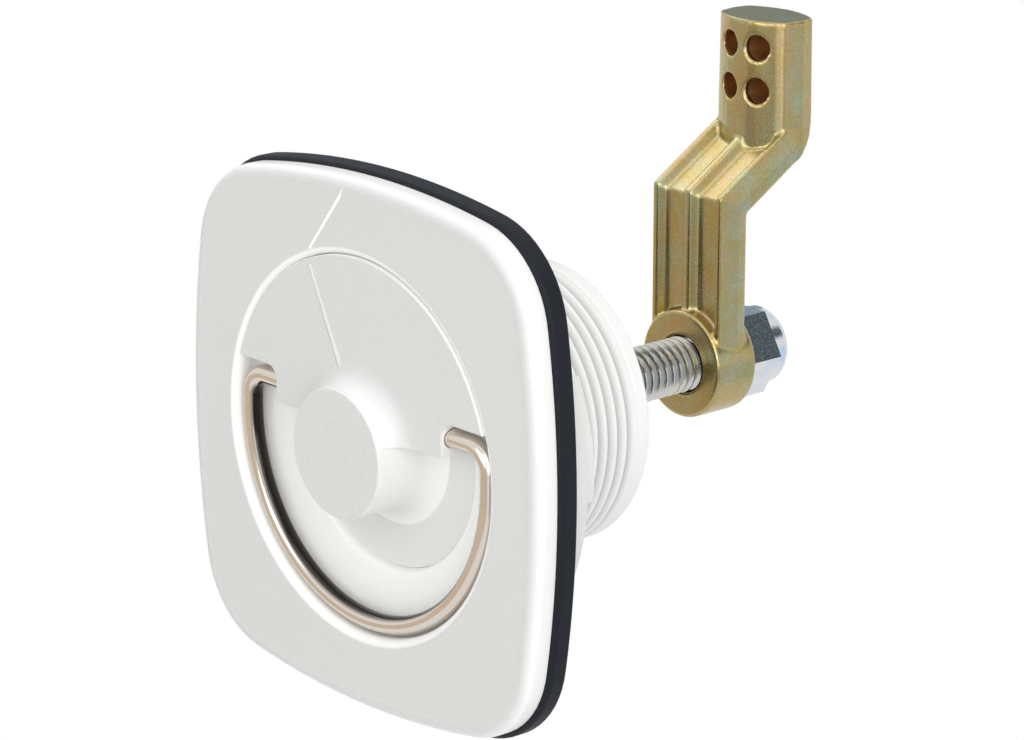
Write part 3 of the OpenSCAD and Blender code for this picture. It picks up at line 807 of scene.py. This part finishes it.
# Knob: half-disc, post and floor that turn in the dish, and the shaft behind them
rotorLow, rotorHigh = boxOf("rotor")
bailLow, bailHigh = boxOf("bail")
pivot = Vector(joints["bail_lift"]["pos_m"]) / mm
wireRadius = (bailHigh.y - bailLow.y) / 2
knob = {
    "rim": dish["recess"] - 0.03, "rimSteps": 96,
    "rise": -0.15,          # of the half-disc out of the plate's bead
    "edge": 0.3,
    "innerZ": 3.1,          # lower edge of the half-disc, beside the post and outside the steps
    "outerZ": 9, "stepX": 20.4,
    "stepRounds": (2.4, 0.5),       # above and below
    "bowlGap": 0.4,         # between the half-disc's back and the bowl
    "slopeGap": 0.15,       # and more of it on the bowl's slope
    "post": 10.6, "postEdge": 0.35, "fillet": 3.6,
    "filletFoot": 0.2,      # flat ring round the fillet
    "filletSink": 0.5, "floor": dish["floor"] - 0.03, "floorY": 0, "floorBack": 2.4,
    "floorEdges": (0.2, 0.3),       # front and back
    "floorGap": 0.2,        # between the half-disc's back and the floor's edge
    "lug": (11, 15),        # stop lug behind the floor
    "lugAngles": (0, 24.5), "lugHeight": 1.6,
    "grip": 6,              # how deep each end of the wire sits
    "gripGap": 0.1,
    "gripOut": 2,           # how far the drill stands out of the step
}
knobRidge = {"from": (-11.2, 27.9), "to": (-2.8, 10.2), "widths": (0.9, 2.1), "height": 0.24, "sink": 0.1}
shaft = {
    "radius": 8, "end": rotorHigh.y, "edge": 0.4, "sealAt": (6.45, 8.65), "sealRoot": 6.22,
    "clipAt": (29.95, 31.18), "clipRoot": 7.2, "socket": 6.13, "socketFrom": 16.75, "pinY": 23.75,
    "pinHole": 1.53,
}


def groove(root, low, high):
    # round the shaft, as a stretch of its outline
    return [(shaft["radius"], low, 0), (root, low, 0), (root, high, 0), (shaft["radius"], high, 0)]


def knobBody():
    # post, floor and shaft, with the stop lug
    front, radius = rotorLow.y, shaft["radius"]
    bm = turnedSolid([
        (0, front, 0), (knob["post"], front, knob["postEdge"]),
        (knob["post"], knob["floorY"], knob["fillet"]),
        (knob["floor"], knob["floorY"], knob["floorEdges"][0]),
        (knob["floor"], knob["floorBack"], knob["floorEdges"][1]),
        (knob["lug"][1], knob["floorBack"], 0), (knob["lug"][0], knob["floorBack"], 0),
        (radius, knob["floorBack"], 0), *groove(shaft["sealRoot"], *shaft["sealAt"]),
        *groove(shaft["clipRoot"], *shaft["clipAt"]), (radius, shaft["end"], shaft["edge"]),
        (shaft["socket"], shaft["end"], 0), (shaft["socket"], shaft["socketFrom"], 0),
        (0, shaft["socketFrom"], 0)])
    raiseSector(bm, knob["floorBack"], knob["lug"], knob["lugAngles"], knob["lugHeight"])
    closeUp(bm)
    return bm


def knobDisc(discY):
    # half-disc with a stepped lower edge, its front edges rounded and its back cut to the bowl
    rimX = math.sqrt(knob["rim"] ** 2 - knob["outerZ"] ** 2)
    first = math.atan2(knob["outerZ"], rimX)
    step = knob["stepX"]
    upper, lower = knob["stepRounds"]
    rim = arc((0, 0), knob["rim"], first, math.pi - first, knob["rimSteps"])
    below = rounded([
        (-rimX, knob["outerZ"], 0), (-step, knob["outerZ"], upper), (-step, knob["innerZ"], lower),
        (step, knob["innerZ"], lower), (step, knob["outerZ"], upper),
        (rimX, knob["outerZ"], 0)], steps=8)
    disc = prism(rim + below[1:-1], discY, knob["floorY"] + margin)
    roundEdges(disc, edgesIn(disc, discY), knob["edge"], segments=4)
    front = rotorLow.y
    wide = knob["rim"] + 4 * margin
    inner = knob["floor"] - knob["floorGap"]
    wallY = faceY + dish["wallDepth"] - knob["bowlGap"]
    bowlY = faceY + dish["bowlDepth"] - knob["bowlGap"]
    deepY = knob["floorY"] + 2 * margin
    room = turnedSolid([
        (0, front, 0), (wide, front, 0), (wide, wallY, 0), (knob["rim"], wallY, 0),
        (knob["floor"] + dish["lip"], bowlY - knob["slopeGap"], 0), (inner, bowlY + dish["lip"], 0),
        (inner, deepY, 0),
        (0, deepY, 0)], steps=ringSteps - 2)        # so that its corners miss the disc's
    return combine(disc, room, "INTERSECT")


def knobFillet(discY):
    # hollow rounding between the post and the half-disc
    front, sink = rotorLow.y, knob["filletSink"]
    foot = knob["post"] + knob["fillet"] + knob["filletFoot"]
    collar = turnedSolid([
        (0, front + sink, 0), (knob["post"], front + sink, 0), (knob["post"], discY, knob["fillet"]),
        (foot, discY, 0), (foot, discY + sink, 0),
        (0, discY + sink, 0)], arcSteps=10)
    wide = knob["rim"]
    low = knob["innerZ"]
    half = prism([(-wide, low), (wide, low), (wide, wide), (-wide, wide)], front, knob["floorY"])
    return combine(collar, half, "INTERSECT")


def drillForPin(bm, length):
    # the locking pin's hole, through shaft, insert and stud
    place = Matrix.Translation((0, shaft["pinY"], 0))
    return combine(bm, rod(shaft["pinHole"], length, place), "DIFFERENCE")


def makeKnob():
    discY = faceY - knob["rise"]
    bm = combine(knobBody(), knobDisc(discY), "UNION")
    bm = combine(bm, knobFillet(discY), "UNION")
    drill = wireRadius + knob["gripGap"]
    deep = knob["grip"] + knob["gripOut"] + 2 * knob["gripGap"]
    for side in (-1, 1):
        middle = side * (knob["stepX"] - knob["grip"] / 2 + knob["gripOut"] / 2)
        place = Matrix.Translation((middle, pivot.y, pivot.z)) @ alongX
        bm = combine(bm, rod(drill, deep, place), "DIFFERENCE")
    bm = drillForPin(bm, 3 * shaft["radius"])
    addRidge(bm, knobRidge, discY)
    makePiece(bm, "turningKnob", "rotor", "whitePlastic", sharp=30)


makeKnob()


# Wire pull
pull = {
    "radius": bailHigh.x - wireRadius, "bend": 4, "bendSteps": 16, "loopSteps": 96,
    "endX": knob["stepX"] - knob["grip"], "sides": 40, "endRound": 0.35,
}


def makePull():
    # bent from one round wire: end, bend, leg, half circle, leg, bend, end
    bm = bmesh.new()
    place = Matrix.Translation((pull["endX"], pivot.y, pivot.z)) @ alongX
    ring = bmesh.ops.create_circle(bm, segments=pull["sides"], radius=wireRadius, matrix=place)["verts"]
    bendX = pull["radius"] - pull["bend"]
    bendZ = pivot.z - pull["bend"]

    def straight(edges, vec):
        pulled = bmesh.ops.extrude_edge_only(bm, edges=edges)["geom"]
        bmesh.ops.translate(bm, vec=vec, verts=vertsOf(pulled))
        return edgesOf(pulled)

    def curve(edges, centre, angle, steps):
        verts = list({vert for edge in edges for vert in edge.verts})
        return edgesOf(spun(bm, verts + edges, angle, steps, centre))

    edges = straight(edgesAt(ring), (bendX - pull["endX"], 0, 0))
    edges = curve(edges, (bendX, pivot.y, bendZ), 90, pull["bendSteps"])
    edges = straight(edges, (0, 0, -bendZ))
    edges = curve(edges, (0, pivot.y, 0), 180, pull["loopSteps"])
    edges = straight(edges, (0, 0, bendZ))
    edges = curve(edges, (-bendX, pivot.y, bendZ), 90, pull["bendSteps"])
    straight(edges, (bendX - pull["endX"], 0, 0))
    caps = capOpenings(bm)
    bmesh.ops.recalc_face_normals(bm, faces=bm.faces[:])
    roundEdges(bm, list({edge for face in caps for edge in face.edges}), pull["endRound"])
    makePiece(bm, "wirePull", "bail", "polishedWire")


makePull()


# Threaded stud
studLow, studHigh = boxOf("stud")
stud = {
    "radius": (studHigh.x - studLow.x) / 2, "depth": 0.85, "pitch": 1.5875, "crest": 0.16, "root": 0.2,
    "steps": 56, "chamfer": 1.1,
}


def studLimit(radius, y):
    # coned ends
    near = max(0, min(y - studLow.y, studHigh.y - y))
    return min(radius, stud["radius"] - stud["chamfer"] + near)


def makeStud():
    bm = bmesh.new()
    screwThread(bm, stud, studLow.y, studHigh.y, studLimit)
    capOpenings(bm)
    closeUp(bm)
    bm = drillForPin(bm, 4 * stud["radius"])
    makePiece(bm, "threadedStud", "stud", "brightZinc", sharp=50)


makeStud()


# Nuts on the stud
jamLow, jamHigh = boxOf("jam_nut")
nuts = {
    "flats": jamHigh.z - jamLow.z, "bore": stud["radius"] + 0.05, "boreCone": 0.7,
    "chamfer": 1.1,                 # at the hexagon's corners, along the axis
    "plainEnd": 0.05,               # the same at an end that isn't coned
    "coneReach": 1.15,              # how far the cone runs, as a share of the corners' height
    "hexHeight": 7,                 # of the lock nut
    "collar": 6.8, "collarRound": 1.3, "collarSink": 2, "nylonRadius": 5.94, "nylonDepth": 2.43,
    "nylonEdge": 0.15,
}


def hexagon(low, high, coned):
    # a hexagonal nut with a coned bore, and coned corners at the ends that are marked
    tall = nuts["flats"] / math.sqrt(3)
    across = nuts["flats"] / 2
    front, rear = [nuts["chamfer"] if end else nuts["plainEnd"] for end in coned]
    slope = (tall - across) * nuts["coneReach"]
    wide = across + slope
    bore, cone, full = nuts["bore"], nuts["boreCone"], nuts["chamfer"]
    ring = turnedSolid([
        (bore, low + cone, 0), (bore + cone, low, 0), (wide - slope * front / full, low, 0),
        (wide, low + front, 0), (wide, high - rear, 0), (wide - slope * rear / full, high, 0),
        (bore + cone, high, 0),
        (bore, high - cone, 0)], steps=smallSteps, closed=True)
    corners = arc((0, 0), tall, 0, math.tau, 6)[:-1]
    return combine(prism(corners, low, high), ring, "INTERSECT")


def makeLockNut():
    low, high = boxOf("lock_nut")
    hexTop = low.y + nuts["hexHeight"]
    seat = high.y - nuts["nylonDepth"]
    collar = turnedSolid([
        (nuts["bore"], hexTop - nuts["collarSink"], 0),
        (nuts["collar"], hexTop - nuts["collarSink"], 0), (nuts["collar"], high.y, nuts["collarRound"]),
        (nuts["nylonRadius"], high.y, nuts["nylonEdge"]), (nuts["nylonRadius"], seat, 0),
        (nuts["bore"], seat, 0)], steps=smallSteps, closed=True)
    bm = combine(hexagon(low.y, hexTop, (True, False)), collar, "UNION")
    makePiece(bm, "lockNut", "lock_nut", "blueZinc", sharp=25)


makePiece(hexagon(jamLow.y, jamHigh.y, (True, True)), "jamNut", "jam_nut", "brightZinc", sharp=25)
makeLockNut()


# Small turned pieces inside
fittings = {
    "arcSteps": 3, "sealSides": 24,
    "insertEdges": (0.2, 0.3),      # at the bore and outside
    "pinEdge": 0.35, "washerBore": shaft["radius"] + 0.25, "washerEdge": 0.15, "springThick": 0.8,
    "clipBore": shaft["clipRoot"] + 0.03, "clipEdge": 0.12,
    "clipOpen": 60,                 # degrees, the gap faces down
    "clipSteps": 80, "nylonEdge": 0.3,
}


def ringCorners(bore, outer, low, high, edge, boreEdge):
    return [(bore, low, boreEdge), (outer, low, edge), (outer, high, edge), (bore, high, boreEdge)]


def smallSolid(corners):
    return turnedSolid(corners, smallSteps, fittings["arcSteps"], closed=True)


def makeRing(name, node, finish, bore, edge):
    low, high = boxOf(node)
    outer = (high.x - low.x) / 2
    makePiece(smallSolid(ringCorners(bore, outer, low.y, high.y, edge, edge)), name, node, finish)


def makeSeal():
    low, high = boxOf("rotor_o_ring")
    small = (high.y - low.y) / 2
    bm = bmesh.new()
    section = arc((high.x - small, (low.y + high.y) / 2), small, 0, math.tau, fittings["sealSides"])
    turned(bm, section[:-1], closed=True, steps=smallSteps)
    closeUp(bm)
    makePiece(bm, "shaftSeal", "rotor_o_ring", "blackRubber")


def makeInsert():
    low, high = boxOf("stud_insert")
    boreEdge, edge = fittings["insertEdges"]
    bm = smallSolid(ringCorners(nuts["bore"], high.x, low.y, high.y, edge, boreEdge))
    makePiece(drillForPin(bm, 4 * high.x), "brassInsert", "stud_insert", "turnedBrass")


def makePin():
    low, high = boxOf("cross_pin")
    bm = rod(high.x, high.z - low.z, Matrix.Translation((0, shaft["pinY"], 0)))
    rims = [edge for edge in bm.edges if abs(edge.verts[0].co.z - edge.verts[1].co.z) < nearEnough]
    roundEdges(bm, rims, fittings["pinEdge"])
    makePiece(bm, "lockingPin", "cross_pin", "springSteel")


def makeSpringWasher():
    # a cone, its bore further back than its rim
    low, high = boxOf("spring_washer")
    thick, bore, edge = fittings["springThick"], fittings["washerBore"], fittings["washerEdge"]
    corners = [(bore, high.y - thick, edge), (high.x, low.y, edge), (high.x, low.y + thick, edge),
               (bore, high.y, edge)]
    makePiece(smallSolid(corners), "springWasher", "spring_washer", "springSteel")


def makeClip():
    low, high = boxOf("retaining_clip")
    gap, edge = fittings["clipOpen"], fittings["clipEdge"]
    bm = bmesh.new()
    corners = ringCorners(fittings["clipBore"], high.x, low.y, high.y, edge, edge)
    section = rounded(corners, closed=True, steps=fittings["arcSteps"])
    turned(bm, section, closed=True, steps=fittings["clipSteps"], start=gap / 2 - 90, angle=360 - gap)
    capOpenings(bm)
    closeUp(bm)
    makePiece(bm, "openClip", "retaining_clip", "springSteel")


makeSeal()
makeInsert()
makePin()
makeRing("flatWasher", "thrust_washer", "stampedSteel", fittings["washerBore"], fittings["washerEdge"])
makeSpringWasher()
makeClip()
makeRing("nylonRing", "lock_nut_ring", "nylon", nuts["bore"], fittings["nylonEdge"])


# Cam bar: boss, fluted arm, jog and pad, one casting
camLow, camHigh = boxOf("cam_bar")
padHoles = mounts["cam_pad_holes"]
arm = {
    "front": camLow.y + 1,      # the boss stands 1 in front of it
    "deep": 6.2,
    "half": 8.1,                # half the width at the front edge
    "parting": 8.65,            # and at the mould's parting line
    "partingDeep": 3.7, "rearHalf": 8.2, "edgeRib": 1.1,
    "rib": 0.75,                # half the rib in the middle
    "flute": 1.6, "fluteDraft": 0.8,
    "fluteRound": 0.86,         # share of the depth where the flute's side turns into its bottom
    "startZ": 1, "bendZ": 30,
    "jog": (14.9, 9),           # back and up
    "bendSteps": 8,
    "bendNarrow": 0.02,         # share of the width that is lost in the upper bend
    "bendLift": 0.01,           # keeps the fan's front corners apart
    "tail": (5, 0.85),          # length inside the pad, and share of the width at its end
}
boss = {"radius": (camHigh.x - camLow.x) / 2, "length": 9, "bore": 4.95, "edge": 0.5, "mouth": 0.5}
pad = {
    "half": 7.9, "parting": 8.55,
    "frontEdge": 2.8,           # how far the front's corners lie behind its middle
    "rearEdge": 2.5, "partingAt": 6.5, "front": 76.4, "top": camHigh.z, "draft": 0.97,
    "heel": 8,                  # rounding where the jog's back runs into the pad's
    "heelLift": 0.4, "steps": 10, "holeDepth": 8,
    "holeLead": 2,              # how far in front of the pad the drill starts
}
casting = {
    "voxel": 0.26,
    "smoothing": 5,             # passes
    "holeFrom": 1.2,            # the holes' own finish starts this far behind the pad's front
    "holePast": (0.1, 0.3),     # and takes in what lies this far outside their walls and ends
}


def armSection():
    # (x, depth behind the front line), from the middle of the front to the middle of the back
    rib, edgeIn = arm["rib"], arm["half"] - arm["edgeRib"]
    draft, flute = arm["fluteDraft"], arm["flute"]
    turn = flute * arm["fluteRound"]
    return [(rib, 0), (rib + draft, turn), (rib + 2 * draft, flute),
            (edgeIn - 2 * draft, flute), (edgeIn - draft, turn), (edgeIn, 0), (arm["half"], 0),
            (arm["parting"], arm["partingDeep"]), (arm["rearHalf"], arm["deep"])]


def makeArm():
    # the section is drawn once and drawn out along the bar's line, mitred at the bends
    back, up = arm["jog"]
    lean = math.hypot(back, up)
    normal = Vector((up / lean, -back / lean))      # square to the jog, pointing back
    level = Vector((1, 0))
    mitre = (normal + level) / (1 + normal.x)
    front, steps = arm["front"], arm["bendSteps"]
    turn = Vector((front + back, arm["bendZ"] + up))
    length, narrowed = arm["tail"]
    stations = [(Vector((front, arm["startZ"])), level, 1), (Vector((front, arm["bendZ"])), mitre, 1)]
    stations += [(turn, normal.slerp(level, i / steps), 1 - arm["bendNarrow"] * i / steps)
                 for i in range(steps + 1)]
    stations.append((turn + Vector((0, length)), level, narrowed))
    half = armSection()
    loop = half + [(-x, deep) for x, deep in reversed(half)]
    bm = bmesh.new()
    rings = []
    for i, (spot, across, narrow) in enumerate(stations):
        places = [(x, spot + across * deep) for x, deep in loop]
        corners = [(x * narrow, place.x, place.y + arm["bendLift"] * i) for x, place in places]
        rings.append(edgesOf(chain(bm, corners, closed=True)))
    for first, second in zip(rings, rings[1:]):
        bmesh.ops.bridge_loops(bm, edges=first + second)
    capOpenings(bm)
    bmesh.ops.recalc_face_normals(bm, faces=bm.faces[:])
    return bm


def bowedEdge(edge, y, sign):
    # an arc across the pad with its middle at y, sign is -1 at the front and 1 at the back
    radius = bowRadius(pad["half"], edge)
    reach = math.asin(pad["half"] / radius)
    middle = sign * math.pi / 2
    return arc((0, y - sign * radius), radius, middle - reach, middle + reach, pad["steps"])


def makePad():
    # round front and back, two faces on each side that meet at the parting line
    low, top = arm["bendZ"], pad["top"]
    front, rear = pad["front"], camHigh.y
    parting = front + pad["partingAt"]
    outline = bowedEdge(pad["frontEdge"], front, -1) + [(pad["parting"], parting)]
    outline += bowedEdge(pad["rearEdge"], rear, 1) + [(-pad["parting"], parting)]
    bm = slab([(x, y, low) for x, y in outline], (0, 0, top - low))
    middle = Matrix.Translation((0, -(front + rear) / 2, 0))
    upper = [vert for vert in bm.verts if vert.co.z > low]
    bmesh.ops.scale(bm, vec=(pad["draft"], pad["draft"], 1), space=middle, verts=upper)

    # its foot is cut along the back of the jog
    back, up = arm["jog"]
    lean = math.atan2(back, up)
    rise = math.tan(lean / 2)
    foot = arm["bendZ"] + up - arm["deep"] * rise + pad["heelLift"]
    centre = (rear - pad["rearEdge"] - pad["heel"], foot + pad["heel"] * rise)
    heel = arc(centre, pad["heel"], -lean, 0, pad["steps"])
    side = [(front - margin, heel[0][1])] + heel + [(rear + margin, centre[1] + pad["rearEdge"] + margin)]
    side += [(rear + margin, top + margin), (front - margin, top + margin)]
    wide = pad["parting"] + margin
    return combine(bm, slab([(-wide, y, z) for y, z in side], (2 * wide, 0, 0)), "INTERSECT")


def makeCamBar():
    front, rear = camLow.y, camLow.y + boss["length"]
    bossShape = turnedSolid([
        (0, front, 0), (boss["radius"], front, boss["edge"]),
        (boss["radius"], rear, boss["edge"]), (0, rear, 0)], steps=smallSteps)
    bm = combine(makeArm(), makePad(), "UNION")
    bm = combine(bm, bossShape, "UNION")
    dims = padHoles["dims"]
    depth, lead = pad["holeDepth"], pad["holeLead"]
    holeY = pad["front"] + (depth - lead) / 2
    holeZ = padHoles["pos_m"][2] / mm
    spots = [(sideX * dims["spacing_x_mm"], holeY, holeZ + sideZ * dims["spacing_y_mm"])
             for sideX in (-0.5, 0.5) for sideZ in (-0.5, 0.5)]
    for spot in spots:
        hole = rod(dims["hole_r_mm"], depth + lead, Matrix.Translation(spot) @ alongY)
        bm = combine(bm, hole, "DIFFERENCE")
    bore = turnedSolid([
        (0, front - margin, 0), (boss["bore"] + boss["mouth"] + margin, front - margin, 0),
        (boss["bore"], front + boss["mouth"], 0), (boss["bore"], rear + margin, 0),
        (0, rear + margin, 0)], steps=smallSteps)
    bm = combine(bm, bore, "DIFFERENCE")
    bm = softened(bm, casting["voxel"], casting["smoothing"])
    pastWall, pastEnd = casting["holePast"]
    for face in bm.faces:
        middle = face.calc_center_median()
        reach = min(math.hypot(middle.x - spot[0], middle.z - spot[2]) for spot in spots)
        deep = middle.y - pad["front"]
        if reach < dims["hole_r_mm"] + pastWall and casting["holeFrom"] < deep < depth + pastEnd:
            face.material_index = 1
    bar = makePiece(bm, "camBar", "cam_bar", "goldChromate", sharp=180)
    bar.data.materials.append(finishes["chromateHole"])


makeCamBar()


# Floor, world and lights
stage = {
    "white": (1, 1, 1, 1), "floorZ": -450, "floorSize": 6000, "floorColour": (0.72, 0.72, 0.72, 1),
    "floorRough": 0.9,
    "ambient": (0.48, 0.82),    # on the dim side and on the bright side
    "toward": (0.5, 0.866, 0),  # where the bright side is
}
lamps = {       # place, size and power
    "keyRight": ((780, -560, 330), 1100, 6.3),
    "keyFront": ((-60, -1000, 260), 500, 2.0),
    "aboveLeft": ((-714, 34, 700), 500, 1.1),
    "top": ((100, -100, 1100), 900, 1.7),
}
cards = {       # place, size and colour
    "greyRight": ((705, -255, -225), (800, 400), (0.42, 0.42, 0.40)),
    "tanLeft": ((-655, -459, -240), (900, 420), (0.76, 0.65, 0.52)),
    "tanFront": ((-98, -794, -240), (720, 420), (0.76, 0.65, 0.52)),
    "greyRear": ((560, 560, -240), (620, 380), (0.70, 0.86, 1.10)),
    "darkRearRight": ((480, 520, 360), (420, 300), (0.05, 0.075, 0.08)),
    "darkRearLeft": ((-570, 510, 240), (420, 380), (0.27, 0.36, 0.42)),
}


def makeWorld():
    world = bpy.data.worlds.new("studio")
    scene.world = world
    world.use_nodes = True
    nodes = Nodes(world.node_tree)
    seen = nodes.tree.nodes["Background"]
    nodes.feed(seen, {"Color": stage["white"], "Strength": 1})
    way = nodes.add("ShaderNodeTexCoord", {})["Generated"]
    side = nodes.vector("DOT_PRODUCT", way, stage["toward"])["Value"]
    bright = nodes.range(side, -1, 1, *stage["ambient"])
    lit = nodes.add("ShaderNodeBackground", {"Color": stage["white"], "Strength": bright})
    shader = nodes.bySight(lit["Background"], seen.outputs["Background"])
    nodes.feed(nodes.tree.nodes["World Output"], {"Surface": shader})


def makeFloor():
    bm = bmesh.new()
    place = Matrix.Translation((0, 0, stage["floorZ"] * mm))
    bmesh.ops.create_grid(bm, x_segments=1, y_segments=1, size=stage["floorSize"] / 2 * mm, matrix=place)
    floor = newObject("floor", bm)
    finish = Finish("paleFloor")
    finish.feed(finish.shader, {"Base Color": stage["floorColour"], "Roughness": stage["floorRough"]})
    glow = finish.add("ShaderNodeEmission", {"Color": stage["white"], "Strength": 1})["Emission"]
    shader = finish.bySight(finish.shader.outputs["BSDF"], glow)
    finish.feed(finish.tree.nodes["Material Output"], {"Surface": shader})
    floor.data.materials.append(finish.material)


def addSoftbox(name, spot, size, power):
    data = bpy.data.lights.new(name, "AREA")
    data.shape = "SQUARE"
    data.size = size * mm
    data.energy = power
    lamp = bpy.data.objects.new(name, data)
    lamp.location = Vector(spot) * mm
    lamp.rotation_euler = Vector(spot).to_track_quat("Z", "Y").to_euler()
    scene.collection.objects.link(lamp)


def addCard(name, spot, size, colour):
    # a coloured card beside the object, which only reflections show
    bm = bmesh.new()
    turn = Vector(spot).to_track_quat("Z", "Y").to_matrix().to_4x4()
    place = Matrix.Translation(Vector(spot) * mm) @ turn @ Matrix.Diagonal((size[0] * mm, size[1] * mm, 1, 1))
    bmesh.ops.create_grid(bm, x_segments=1, y_segments=1, size=0.5, matrix=place)
    card = newObject(name, bm)
    finish = Finish(name)
    finish.feed(finish.shader, {
        "Base Color": (0, 0, 0, 1), "Roughness": 1, "Emission Color": (*colour, 1), "Emission Strength": 1})
    card.data.materials.append(finish.material)
    card.visible_camera = False
    card.visible_shadow = False
    card.visible_diffuse = False


makeWorld()
makeFloor()
for name, (spot, size, power) in lamps.items():
    addSoftbox(name, spot, size, power)
for name, (spot, size, colour) in cards.items():
    addCard(name, spot, size, colour)
print("stage lit")
